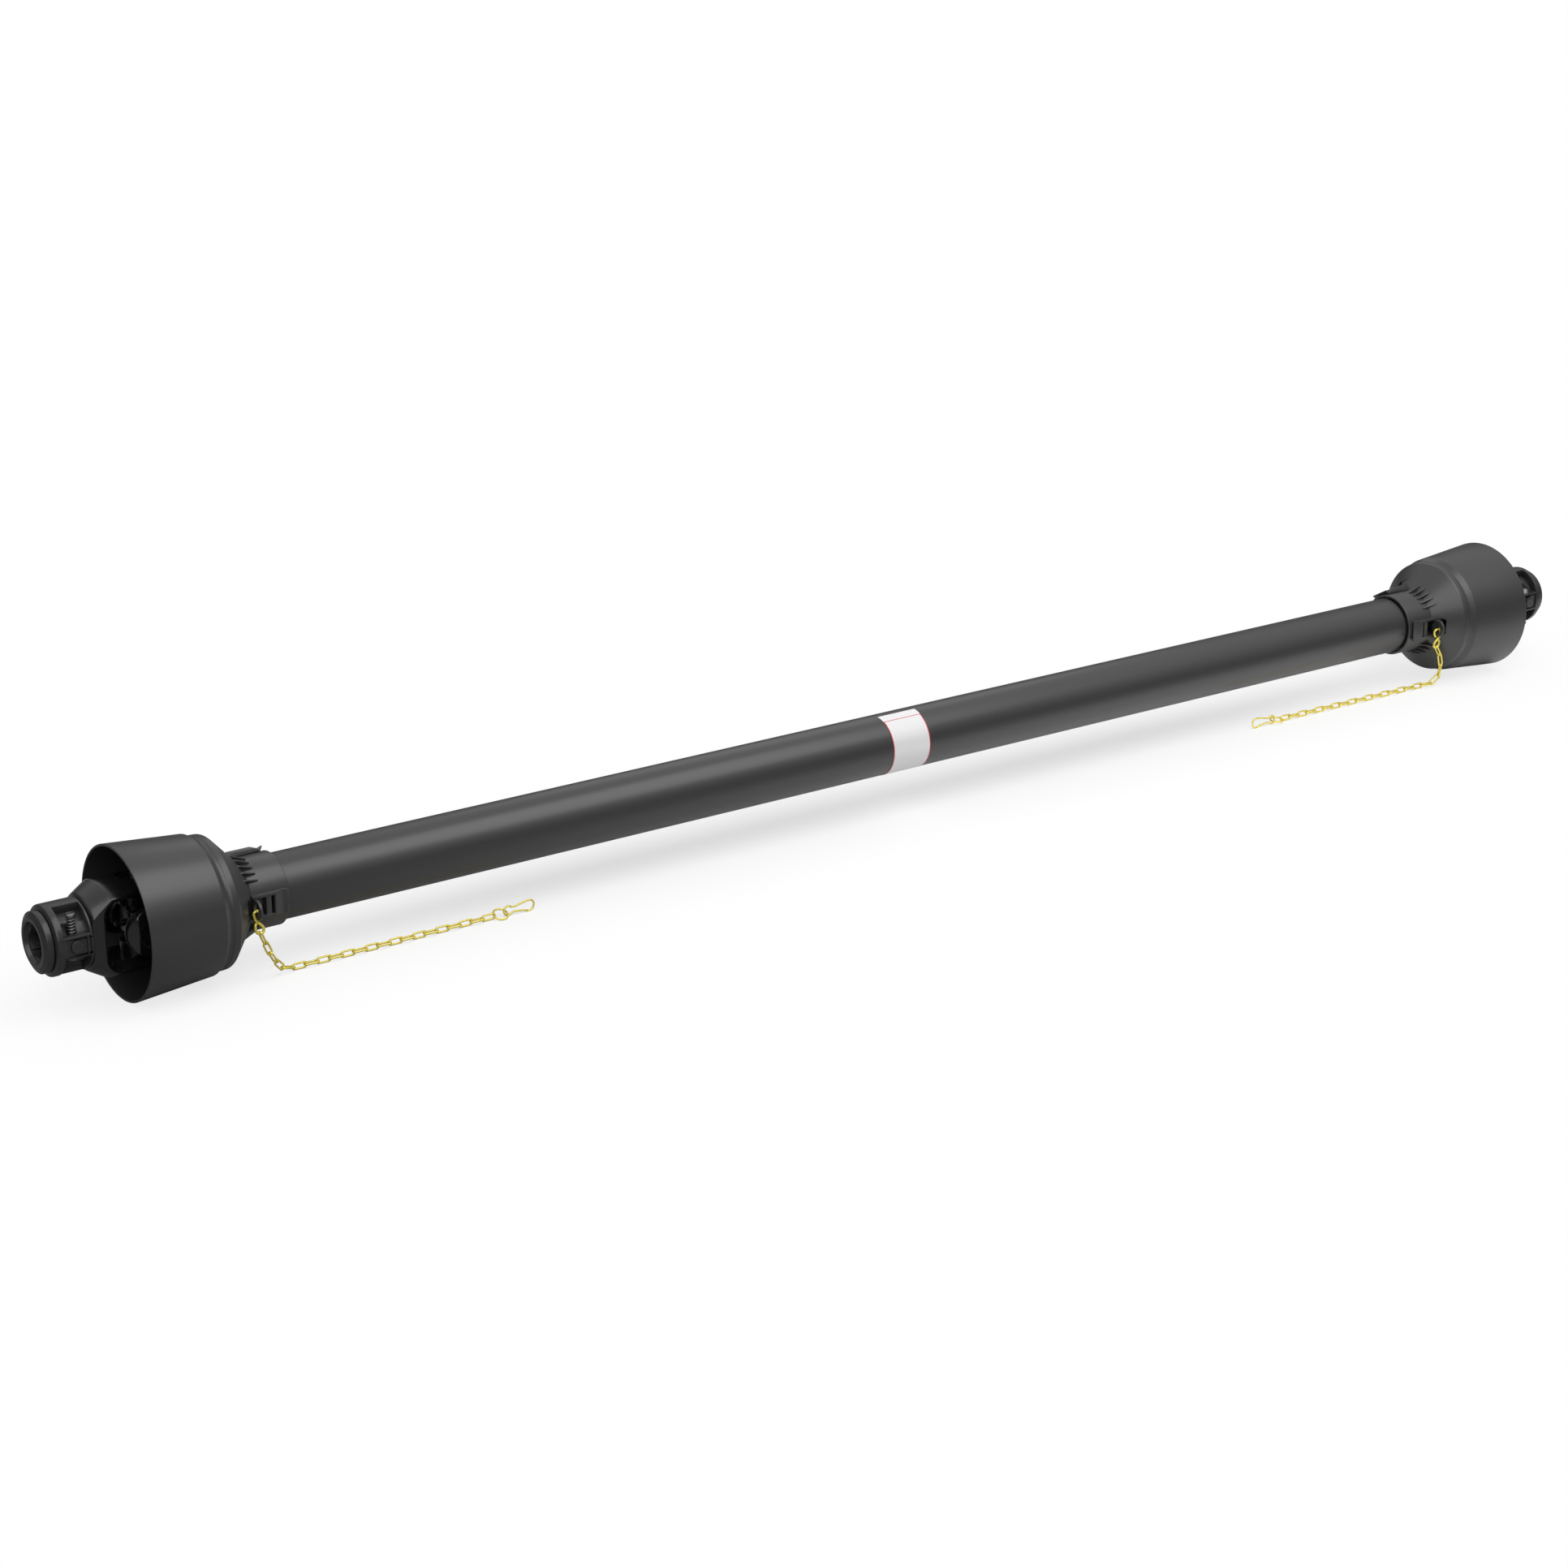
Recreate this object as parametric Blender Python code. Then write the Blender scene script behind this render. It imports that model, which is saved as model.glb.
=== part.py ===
"""PTO drive shaft for a tractor implement, pushed together and laid on its shield cones.

Metres, +Z up. The shaft lies along X with its middle over the origin, and the floor is z = 0.
Each end is modelled in its own frame: the origin is the centre of the universal joint's cross,
+x runs inward along the shaft and -x runs out to the nose of the end yoke. The far end is the
near end turned half a turn about Y.
"""

import math

import bmesh
import bpy
from mathutils import Matrix, Vector

# Driving sizes of the whole shaft
CLOSED_SPAN = 1.800          # between the centres of the two crosses, pushed together
RUNNING_GAP = 0.0003         # between pieces that touch or slide on one another
ROUND_SIDES = 24             # facets round the shield
YOKE_SIDES = 20              # facets round the yokes and the collar
CUP_SIDES = 12               # facets round the cups and their bores

# Universal joint, 30.2 mm cups and 80 mm over them
CUP_RADIUS = 0.0151
CUP_SPAN = 0.080
CUP_DEPTH = 0.0215
CUP_FLOOR = 0.0018
JOURNAL_RADIUS = 0.0090
CROSS_HUB = 0.0130           # half the width of the cross's middle
CROSS_BEVEL = 0.0035
CIRCLIP_THICKNESS = 0.0016
CIRCLIP_WIDTH = 0.0034
CIRCLIP_SEAT = 0.0018        # how far the groove goes into the ear beyond the cup's bore

# End yoke
NOSE_LENGTH = 0.102          # nose face to cross centre
SPLINE_TIP_RADIUS = 0.01745
SPLINE_ROOT_RADIUS = 0.01490
SPLINE_TEETH = 6
SPLINE_GAP = 0.0088          # width of each groove between two teeth
MOUTH_RADIUS = 0.0200
NOSE_FACE_RADIUS = 0.0243
NOSE_RADIUS = 0.0298
NOSE_BEVEL = 0.0028
NOSE_WIDTH = 0.0090
HUB_RADIUS = 0.0260
FORK_HALF_WIDTH = 0.0310
EAR_REACH = 0.0465           # shaft axis to the outer face of an ear
EAR_TIP_RADIUS = 0.0250
EAR_CROWN = 0.0550
EAR_INSIDE = 0.0290          # shaft axis to the inner face of an ear
FORK_DEPTH = 0.0400          # cross centre to the bottom of the fork
FORK_CORNER = 0.0150

# Lock collar round the hub of the end yoke
COLLAR_RADIUS = 0.0345
COLLAR_FRONT = 0.0096        # from the nose face
COLLAR_BACK = 0.0460
WINDOW_FRONT = 0.0175
WINDOW_BACK = 0.0435
WINDOW_TOP = math.radians(78)
LUG_HALF = 0.0107
LUG_RIM = 0.0020
LUG_POCKET = 0.0024
BOSS_RADIUS = 0.0062
BOSS_PLACE = 0.0300
RIB_PLACE = 0.0405
RIB_WIDTH = 0.0018

# Spring-loaded lock pin, across the hub beside the bore
PIN_PLACE = 0.0290           # from the nose face
PIN_OFFSET = 0.0230          # from the shaft axis
PIN_RADIUS = 0.0065
PIN_STEM_RADIUS = 0.0026
PIN_HEAD_RADIUS = 0.0048
PIN_HEAD_HEIGHT = 0.0270     # underside of the head above the shaft axis
PIN_HEAD_THICKNESS = 0.0036
PIN_SHOULDER = 0.0066
PIN_NOSE = 0.0155
PIN_SLOT = 0.0012
SPRING_RADIUS = 0.0039
SPRING_WIRE = 0.00075
SPRING_TURNS = 6

# Inner yoke, drive tubes and their pins
INNER_REACH = 0.0445
INNER_DEPTH = 0.0460
INNER_HALF_WIDTH = 0.0290
INNER_SHOULDER = 0.0620      # end of the fork on the tube side
INNER_HUB_RADIUS = 0.0300
INNER_HUB_END = 0.1040
BEARING_START = 0.0920
BEARING_WIDTH = 0.0090
BEARING_GROOVE_RADIUS = 0.0268
TUBE_SOCKET = 0.0680         # start of the drive tube, from the cross centre
ROLL_PIN_PLACE = 0.0790
ROLL_PIN_RADIUS = 0.0050
ROLL_PIN_WALL = 0.0015
ROLL_PIN_SLIT = 0.0016
LOBE_MEAN = 0.0252           # three-lobed profile of the outer drive tube
LOBE_SWELL = 0.0014
OUTER_DRIVE_WALL = 0.0035
INNER_DRIVE_WALL = 0.0040
OUTER_DRIVE_END_GAP = 0.0120
INNER_DRIVE_END = 0.1050     # free end of the inner drive tube, from the near cross

# Shield: bell, funnel, neck and tubes
RIM_PLACE = -0.0184
RIM_RADIUS = 0.0762
BELL_END = 0.0630
BELL_END_RADIUS = 0.0690
BAND_RADIUS = 0.0659
GROOVE_DEPTH = 0.0009
FUNNEL_START = 0.0775
FUNNEL_FOOT = 0.1040
SHELL_WALL = 0.0023
NECK_RADIUS = 0.0365
NECK_END = 0.1436
SLEEVE_RADIUS = 0.0381       # inside the seat of the shield bearing
SLEEVE_WALL = 0.0022
SLEEVE_START = 0.0885
SHIELD_TUBE_START = 0.1120
OUTER_TUBE_RADIUS = 0.03295
OUTER_TUBE_WALL = 0.00205
INNER_TUBE_WALL = 0.00180
TUBE_SLIP = 0.0004
NECK_GAP = 0.0025            # outer shield tube to the far neck
INNER_TUBE_END = 0.1300      # free end of the inner shield tube, from the near cross

# Fins, latches and the ear on the shield cone
LATCHES = 3
FINS = 5
FIN_STEP = math.radians(11)
FIN_THICKNESS = 0.0016
FIN_LENGTH = 0.0160
FIN_HEIGHT = 0.0075
LATCH_HALF = 0.0120
LATCH_ROOF = 0.0415
LATCH_START = 0.1020
LATCH_RAMP = 0.1270
LATCH_END = 0.1400
LATCH_POCKET_HALF = 0.0092
LATCH_POCKET_END = 0.1245
LATCH_FLOOR = 0.0376
TONGUE_START = 0.1145
TONGUE_END = 0.1220
TONGUE_ROOF = 0.0405
PORT_RADIUS = 0.0102         # hole in the funnel ahead of each latch
PORT_OFFSET = 0.0515
EAR_PLACE = 0.1005
EAR_OFFSET = 0.0460
EAR_RADIUS = 0.0101
EAR_THICKNESS = 0.0030
EAR_HOLE_RADIUS = 0.0030

# Label band round the outer shield tube
LABEL_START = -0.0275
LABEL_END = 0.0225
LABEL_THICKNESS = 0.0002
LABEL_LIFT = 0.00015
LABEL_TOP = math.radians(80)
LABEL_BOTTOM = math.radians(-112)

# Safety chains
WIRE_RADIUS = 0.0011
LINK_WIDTH = 0.0076
LINK_PITCH = 0.0136
LINK_SEAT = 0.0005           # how far each link sits into the next, so that the chain is one body
HOOK_LEG = 0.0033            # half the width of the S-hook's upper loop
HOOK_BOWL = 0.0042           # radius of its lower loop
HOOK_DROP = 0.0225           # ear's hole to the bottom of the lower loop
NEAR_SIDESTEP = 0.0025       # how far the near chain holds its S-hook's lower loop aside
BEND_SEAT = 0.0034           # room for a wire in the pointed end of a link
RING_RADIUS = 0.0075
NEAR_RING_TILT = math.radians(25)
FAR_RING_TILT = math.radians(4)
SNAP_WIRE = 0.00095
SNAP_EYE_RADIUS = 0.0045
SNAP_LENGTH = 0.0360

AXIS_HEIGHT = RIM_RADIUS * math.cos(math.pi / ROUND_SIDES)
NOSE = -NOSE_LENGTH
FORK_BASE = NOSE + COLLAR_BACK + RUNNING_GAP
EAR_BORE_RADIUS = CUP_RADIUS + RUNNING_GAP
INNER_TUBE_RADIUS = OUTER_TUBE_RADIUS - OUTER_TUBE_WALL - TUBE_SLIP
FUNNEL_SLOPE = (BAND_RADIUS - NECK_RADIUS) / (FUNNEL_FOOT - FUNNEL_START)

# Each chain lies where it came to rest: points below and beside its ear, in world metres
NEAR_DROP = [(-0.7909, -0.0445, 0.0391), (-0.7827, -0.0420, 0.0232), (-0.7728, -0.0375, 0.0092),
             (-0.7640, -0.0355, 0.0044), (-0.7550, -0.0346, 0.0042), (-0.4500, -0.0320, 0.0042)]
FAR_DROP = [(0.8030, -0.0457, 0.0385), (0.8045, -0.0455, 0.0245), (0.8010, -0.0440, 0.0125),
            (0.7915, -0.0410, 0.0048), (0.7780, -0.0383, 0.0042), (0.4900, -0.0322, 0.0042)]
LINKS = 22                   # in each chain


def clear_scene():
    for item in list(bpy.data.objects):
        bpy.data.objects.remove(item)


def material(name, colour, roughness, metallic):
    made = bpy.data.materials.new(name)
    made.use_nodes = True
    shader = made.node_tree.nodes["Principled BSDF"]
    shader.inputs["Base Color"].default_value = (*colour, 1)
    shader.inputs["Roughness"].default_value = roughness
    shader.inputs["Metallic"].default_value = metallic
    return made


def closed_mesh(bm):
    """A mesh from a bmesh whose faces are turned to look outward."""
    bmesh.ops.recalc_face_normals(bm, faces=bm.faces)
    mesh = bpy.data.meshes.new("piece")
    bm.to_mesh(mesh)
    bm.free()
    return mesh


def lathe(profile, sides=ROUND_SIDES):
    """A solid turned about X from a closed outline of (x, radius)."""
    bm = bmesh.new()
    angles = [2 * math.pi * (step + 0.5) / sides for step in range(sides)]
    rings = []
    for x, radius in profile:
        if radius < 1e-7:
            rings.append([bm.verts.new((x, 0, 0))] * sides)
        else:
            rings.append([bm.verts.new((x, radius * math.sin(a), -radius * math.cos(a))) for a in angles])
    for first, second in zip(rings, rings[1:] + rings[:1]):
        for step in range(sides):
            after = (step + 1) % sides
            corners = [first[step], first[after], second[after], second[step]]
            corners = list(dict.fromkeys(corners))
            if len(corners) > 2:
                bm.faces.new(corners)
    return closed_mesh(bm)


def loft(sections):
    """A solid through sections of equally many points, capped at both ends."""
    bm = bmesh.new()
    rings = [[bm.verts.new(point) for point in section] for section in sections]
    count = len(rings[0])
    for first, second in zip(rings, rings[1:]):
        for step in range(count):
            after = (step + 1) % count
            bm.faces.new((first[step], first[after], second[after], second[step]))
    bm.faces.new(rings[0])
    bm.faces.new(rings[-1])
    return closed_mesh(bm)


def prism(outline, axis, low, high):
    """An outline of two coordinates, pulled along the third axis from low to high."""
    order = {"x": lambda u, v, w: (w, u, v), "y": lambda u, v, w: (u, w, v), "z": lambda u, v, w: (u, v, w)}
    point = order[axis]
    return loft([[point(u, v, end) for u, v in outline] for end in (low, high)])


def box(x, y, z):
    """A block between the pairs of limits x, y and z."""
    outline = [(x[0], y[0]), (x[1], y[0]), (x[1], y[1]), (x[0], y[1])]
    return prism(outline, "z", *z)


def circle(radius, sides, centre=(0, 0), start=0.0, sweep=2 * math.pi):
    """Points of a circle or an arc; an arc includes its last point."""
    full = abs(sweep - 2 * math.pi) < 1e-6
    steps = sides if full else sides - 1
    return [(centre[0] + radius * math.cos(start + sweep * i / steps),
             centre[1] + radius * math.sin(start + sweep * i / steps)) for i in range(sides)]


def wire(path, radius, sides=6, closed=False):
    """A round wire along a path, its section carried along without twist."""
    points = [Vector(p) for p in path]
    count = len(points)
    tangents = []
    for i in range(count):
        before = points[(i - 1) % count] if closed or i > 0 else points[i]
        after = points[(i + 1) % count] if closed or i < count - 1 else points[i]
        tangents.append((after - before).normalized())
    side = tangents[0].orthogonal().normalized()
    bm = bmesh.new()
    rings = []
    for point, tangent in zip(points, tangents):
        side = (side - tangent * side.dot(tangent)).normalized()
        up = tangent.cross(side)
        angles = [2 * math.pi * step / sides for step in range(sides)]
        rings.append([bm.verts.new(point + radius * (side * math.cos(a) + up * math.sin(a))) for a in angles])
    pairs = list(zip(rings, rings[1:]))
    for first, second in pairs:
        for step in range(sides):
            after = (step + 1) % sides
            bm.faces.new((first[step], first[after], second[after], second[step]))
    if closed:
        last, first = rings[-1], rings[0]
        shift = min(range(sides), key=lambda s: (last[0].co - first[s].co).length)
        for step in range(sides):
            a, b = (step + shift) % sides, (step + shift + 1) % sides
            bm.faces.new((last[step], last[(step + 1) % sides], first[b], first[a]))
    else:
        bm.faces.new(rings[0])
        bm.faces.new(rings[-1])
    return closed_mesh(bm)


def joined(meshes):
    """Several meshes as one, not yet united."""
    bm = bmesh.new()
    for mesh in meshes:
        bm.from_mesh(mesh)
    result = bpy.data.meshes.new("joined")
    bm.to_mesh(result)
    bm.free()
    return result


def moved(mesh, matrix):
    result = mesh.copy()
    result.transform(matrix)
    return result


def combine(body, tool, operation, overlapping=False):
    """The body with the tool united, cut away or intersected."""
    target = bpy.data.objects.new("body", body)
    cutter = bpy.data.objects.new("tool", tool)
    cutter.hide_render = True
    cutter.display_type = "WIRE"
    for item in (target, cutter):
        bpy.context.collection.objects.link(item)
    modifier = target.modifiers.new("combine", "BOOLEAN")
    modifier.operation = operation
    modifier.solver = "EXACT"
    modifier.use_self = overlapping
    modifier.object = cutter
    bpy.context.view_layer.update()
    graph = bpy.context.evaluated_depsgraph_get()
    result = bpy.data.meshes.new_from_object(target.evaluated_get(graph))
    bpy.data.objects.remove(target)
    bpy.data.objects.remove(cutter)
    return result


def cut(body, *tools):
    for tool in tools:
        body = combine(body, tool, "DIFFERENCE")
    return body


def unite(body, *tools):
    for tool in tools:
        body = combine(body, tool, "UNION")
    return body


def bevelled(mesh, width, limit=math.radians(30)):
    """The mesh with its sharp edges broken."""
    bm = bmesh.new()
    bm.from_mesh(mesh)
    edges = [e for e in bm.edges if len(e.link_faces) == 2 and e.calc_face_angle() > limit]
    bmesh.ops.bevel(bm, geom=edges, offset=width, segments=1, profile=0.5, affect="EDGES", clamp_overlap=True)
    return closed_mesh(bm)


def turned_pin(profile, sides, direction, place):
    """A turned solid whose own axis points along direction, with its zero at place."""
    turn = Vector((1, 0, 0)).rotation_difference(Vector(direction)).to_matrix().to_4x4()
    return moved(lathe(profile, sides), Matrix.Translation(place) @ turn)


def rod(radius, low, high, sides, direction="x", place=(0, 0, 0)):
    """A plain round bar along an axis between two stations."""
    vectors = {"x": (1, 0, 0), "y": (0, 1, 0), "z": (0, 0, 1)}
    return turned_pin([(low, 0), (low, radius), (high, radius), (high, 0)], sides, vectors[direction], place)


# Forks of the yokes

def fork_body(base, reach, half_width, tip_radius, hub_radius):
    """Forged blank of a fork: turned shoulders, flat flanks, crowned ears with round tips."""
    flare = [(base, 0), (base, hub_radius), (base + 0.0022, hub_radius + 0.0045),
             (base + 0.0052, reach - 0.0035), (base + 0.0092, reach), (-0.0180, reach + 0.0045),
             (tip_radius - 0.0085, reach + 0.0005), (tip_radius + 0.0005, reach - 0.0120), (tip_radius + 0.0005, 0)]
    blank = lathe(flare, YOKE_SIDES)
    spread = [half_width * share for share in (-1, -0.6, 0, 0.6, 1)]
    crown = [(y, reach - EAR_CROWN + math.sqrt(EAR_CROWN ** 2 - y ** 2)) for y in spread]
    section = crown + [(-y, -z) for y, z in crown]
    blank = combine(blank, prism(section, "x", base - 0.01, tip_radius + 0.01), "INTERSECT")
    tip = circle(tip_radius, 7, start=-math.pi / 2, sweep=math.pi)
    waist = half_width * 1.02
    plan = tip + [(-0.0060, tip_radius + 0.0012), (base * 0.55, waist), (base - 0.01, hub_radius + 0.012),
                  (base - 0.01, -hub_radius - 0.012), (base * 0.55, -waist), (-0.0060, -tip_radius - 0.0012)]
    blank = combine(blank, prism(plan, "z", -reach - 0.01, reach + 0.01), "INTERSECT")
    return bevelled(blank, 0.0018, math.radians(40))


def fork_slot(depth, inside, half_width):
    """Cutter for the inside of a fork: a round-cornered U that flares towards the flanks."""
    def section(y, floor, half):
        lower = circle(FORK_CORNER, 3, (-floor + FORK_CORNER, -half + FORK_CORNER), -math.pi / 2, -math.pi / 2)
        upper = [(x, -z) for x, z in reversed(lower)]
        outline = [(0.06, -half)] + lower + upper + [(0.06, half)]
        return [(x, y, z) for x, z in outline]
    flare = half_width * 0.66
    edge = half_width + 0.004
    wide = inside + 0.0105
    return loft([section(-edge, depth + 0.003, wide), section(-flare, depth, inside),
                 section(flare, depth, inside), section(edge, depth + 0.003, wide)])


def ear_bores():
    """Cutter for the two cup bores with the circlip groove in each."""
    beyond = CUP_SPAN
    start = CUP_SPAN / 2 + 0.0001
    end = start + CIRCLIP_THICKNESS + 2 * RUNNING_GAP
    seat = EAR_BORE_RADIUS + CIRCLIP_SEAT
    half = [(start, EAR_BORE_RADIUS), (start, seat), (end, seat), (end, EAR_BORE_RADIUS),
            (beyond, EAR_BORE_RADIUS), (beyond, 0)]
    profile = [(-x, radius) for x, radius in reversed(half)] + half
    return turned_pin(profile, CUP_SIDES, (0, 0, 1), (0, 0, 0))


def spline_outline():
    """Outline of the splined bore: wide flat grooves between narrow teeth."""
    tip_half = math.asin(SPLINE_GAP / 2 / SPLINE_TIP_RADIUS)
    root_half = math.asin(SPLINE_GAP / 2 / SPLINE_ROOT_RADIUS)
    pitch = 2 * math.pi / SPLINE_TEETH
    marks = [(-root_half, SPLINE_ROOT_RADIUS), (-tip_half, SPLINE_TIP_RADIUS),
             (tip_half, SPLINE_TIP_RADIUS), (root_half, SPLINE_ROOT_RADIUS)]
    return [(r * math.cos(tooth * pitch + a), r * math.sin(tooth * pitch + a))
            for tooth in range(SPLINE_TEETH) for a, r in marks]


def pin_hole():
    """Cutter for the stepped hole of the lock pin, through the hub and the collar's lug."""
    place = (NOSE + PIN_PLACE, -PIN_OFFSET, 0)
    wide = rod(PIN_RADIUS + RUNNING_GAP, -0.05, PIN_SHOULDER + RUNNING_GAP, 10, "z", place)
    narrow = rod(PIN_STEM_RADIUS + RUNNING_GAP, 0, 0.05, 8, "z", place)
    pocket = rod(SPRING_RADIUS + SPRING_WIRE + 2 * RUNNING_GAP, LUG_HALF, 0.05, 10, "z", place)
    return [wide, narrow, pocket]


def end_yoke():
    fork = fork_body(FORK_BASE, EAR_REACH, FORK_HALF_WIDTH, EAR_TIP_RADIUS, COLLAR_RADIUS - 0.0008)
    hub = lathe([(NOSE, 0), (NOSE, NOSE_FACE_RADIUS), (NOSE + NOSE_BEVEL, NOSE_RADIUS),
                 (NOSE + NOSE_WIDTH, NOSE_RADIUS), (NOSE + NOSE_WIDTH + 0.0003, HUB_RADIUS),
                 (FORK_BASE + 0.004, HUB_RADIUS), (FORK_BASE + 0.004, 0)], YOKE_SIDES)
    yoke = unite(fork, hub)
    yoke = cut(yoke, fork_slot(FORK_DEPTH, EAR_INSIDE, FORK_HALF_WIDTH), ear_bores())
    mouth = lathe([(NOSE - 0.001, 0), (NOSE - 0.001, MOUTH_RADIUS + 0.001), (NOSE + 0.0040, MOUTH_RADIUS - 0.0015),
                   (NOSE + 0.0040, 0)], 16)
    return cut(yoke, prism(spline_outline(), "x", NOSE - 0.01, -0.02), mouth, *pin_hole())


def lock_collar():
    front = NOSE + COLLAR_FRONT
    back = NOSE + COLLAR_BACK
    bore = HUB_RADIUS + RUNNING_GAP
    ring = lathe([(front, bore), (front, NOSE_RADIUS + 0.0012), (front + 0.0016, COLLAR_RADIUS),
                  (back, COLLAR_RADIUS), (back, bore)], YOKE_SIDES)
    beyond = COLLAR_RADIUS + 0.01
    near_axis = bore - 0.004
    top = (-beyond * math.cos(WINDOW_TOP), beyond * math.sin(WINDOW_TOP))
    inner_top = (-near_axis * math.cos(WINDOW_TOP), near_axis * math.sin(WINDOW_TOP))
    outline = [(-near_axis, LUG_HALF), (-beyond, LUG_HALF), (-beyond, top[1]), top, inner_top]
    lower = [(y, -z) for y, z in outline]
    front_cut = NOSE + WINDOW_FRONT
    back_cut = NOSE + WINDOW_BACK
    windows = [prism(shape, "x", front_cut, back_cut) for shape in (outline, lower)]
    pocket_half = LUG_HALF - LUG_RIM
    pocket = box((front_cut + LUG_RIM, back_cut), (-beyond, LUG_POCKET - COLLAR_RADIUS),
                 (-pocket_half, pocket_half))
    ring = cut(ring, *windows, pocket)
    face = COLLAR_RADIUS - 0.0008
    boss = rod(BOSS_RADIUS, -face, LUG_POCKET + 0.001 - COLLAR_RADIUS, 16, "y", (NOSE + BOSS_PLACE, 0, 0))
    rib = box((NOSE + RIB_PLACE - RIB_WIDTH / 2, NOSE + RIB_PLACE + RIB_WIDTH / 2),
              (-face + 0.0004, LUG_POCKET + 0.001 - COLLAR_RADIUS), (-pocket_half - 0.0005, pocket_half + 0.0005))
    ring = unite(ring, boss, rib)
    return cut(ring, *pin_hole())


def lock_pin():
    tip = -PIN_NOSE
    head = PIN_HEAD_HEIGHT
    top = head + PIN_HEAD_THICKNESS
    profile = [(tip, 0), (tip, 0.0030), (tip + 0.0050, PIN_RADIUS),
               (PIN_SHOULDER, PIN_RADIUS), (PIN_SHOULDER, PIN_STEM_RADIUS), (head, PIN_STEM_RADIUS),
               (head, PIN_HEAD_RADIUS), (top, PIN_HEAD_RADIUS - 0.0006), (top, 0)]
    place = (NOSE + PIN_PLACE, -PIN_OFFSET, 0)
    pin = turned_pin(profile, 10, (0, 0, 1), place)
    slot = box((place[0] - PIN_HEAD_RADIUS - 0.001, place[0] + PIN_HEAD_RADIUS + 0.001),
               (place[1] - PIN_SLOT / 2, place[1] + PIN_SLOT / 2), (top - 0.0014, top + 0.001))
    return cut(pin, slot)


def lock_spring():
    low = LUG_HALF + SPRING_WIRE + RUNNING_GAP
    high = PIN_HEAD_HEIGHT - SPRING_WIRE - RUNNING_GAP
    steps = 6
    total = SPRING_TURNS * steps
    path = []
    for i in range(total + 1):
        turn = 2 * math.pi * i / steps
        path.append((NOSE + PIN_PLACE + SPRING_RADIUS * math.cos(turn), -PIN_OFFSET + SPRING_RADIUS * math.sin(turn),
                     low + (high - low) * i / total))
    return wire(path, SPRING_WIRE, 4)


# Universal joint

def cross():
    """Forged middle with four journals."""
    reach = CUP_SPAN / 2 - CUP_FLOOR - RUNNING_GAP
    half = (-CROSS_HUB, CROSS_HUB)
    middle = bevelled(box((-JOURNAL_RADIUS - 0.001, JOURNAL_RADIUS + 0.001), half, half), CROSS_BEVEL)
    across = rod(JOURNAL_RADIUS, -reach, reach, 12, "y")
    upright = rod(JOURNAL_RADIUS, -reach, reach, 12, "z")
    return unite(middle, across, upright)


def grease_nipple():
    """Nipple on the side of the cross that faces out along the shaft."""
    profile = [(0, 0), (0, 0.0034), (0.0032, 0.0034), (0.0052, 0.0016), (0.0064, 0.0026), (0.0094, 0.0014),
               (0.0094, 0)]
    face = JOURNAL_RADIUS + 0.001 + RUNNING_GAP
    return turned_pin(profile, 6, (-1, 0, 0), (-face, 0, 0))


def bearing_cup():
    """One needle cup, its own axis along +x."""
    outer = CUP_SPAN / 2
    mouth = outer - CUP_DEPTH
    return lathe([(mouth, JOURNAL_RADIUS + RUNNING_GAP), (mouth, CUP_RADIUS - 0.0008), (mouth + 0.0008, CUP_RADIUS),
                  (outer, CUP_RADIUS), (outer, 0), (outer - CUP_FLOOR, 0),
                  (outer - CUP_FLOOR, JOURNAL_RADIUS + RUNNING_GAP)], CUP_SIDES)


def circlip():
    """An open snap ring in its groove, its own axis along +x."""
    outer = (EAR_BORE_RADIUS + CIRCLIP_SEAT) * math.cos(math.pi / CUP_SIDES) - RUNNING_GAP
    opening = math.radians(26)
    sweep = 2 * math.pi - 2 * opening
    outline = circle(outer, 9, start=opening, sweep=sweep)
    lug = [(outer - CIRCLIP_WIDTH - 0.0016, 2 * math.pi - opening), (outer - CIRCLIP_WIDTH - 0.0016, -opening - 0.22)]
    outline += [(r * math.cos(a), r * math.sin(a)) for r, a in lug]
    outline += circle(outer - CIRCLIP_WIDTH, 7, start=-opening - 0.24, sweep=-sweep + 0.48)
    outline += [(r * math.cos(-a), r * math.sin(-a)) for r, a in reversed(lug)]
    place = CUP_SPAN / 2 + RUNNING_GAP + 0.0001
    return prism(outline, "x", place, place + CIRCLIP_THICKNESS)


# Drive tubes and inner yokes

def lobe_outline(offset, count=18):
    """Three-lobed outline of the drive tubes, moved in or out by offset."""
    outline = []
    for step in range(count):
        angle = 2 * math.pi * step / count
        radius = LOBE_MEAN + offset + LOBE_SWELL * math.cos(3 * angle)
        outline.append((radius * math.cos(angle), radius * math.sin(angle)))
    return outline


def drive_tube(offset, wall, start, end, pin_place):
    tube = prism(lobe_outline(offset), "x", start, end)
    tube = cut(tube, prism(lobe_outline(offset - wall), "x", start - 0.01, end + 0.01))
    return cut(tube, rod(ROLL_PIN_RADIUS + RUNNING_GAP, -0.05, 0.05, 12, "z", (pin_place, 0, 0)))


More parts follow.
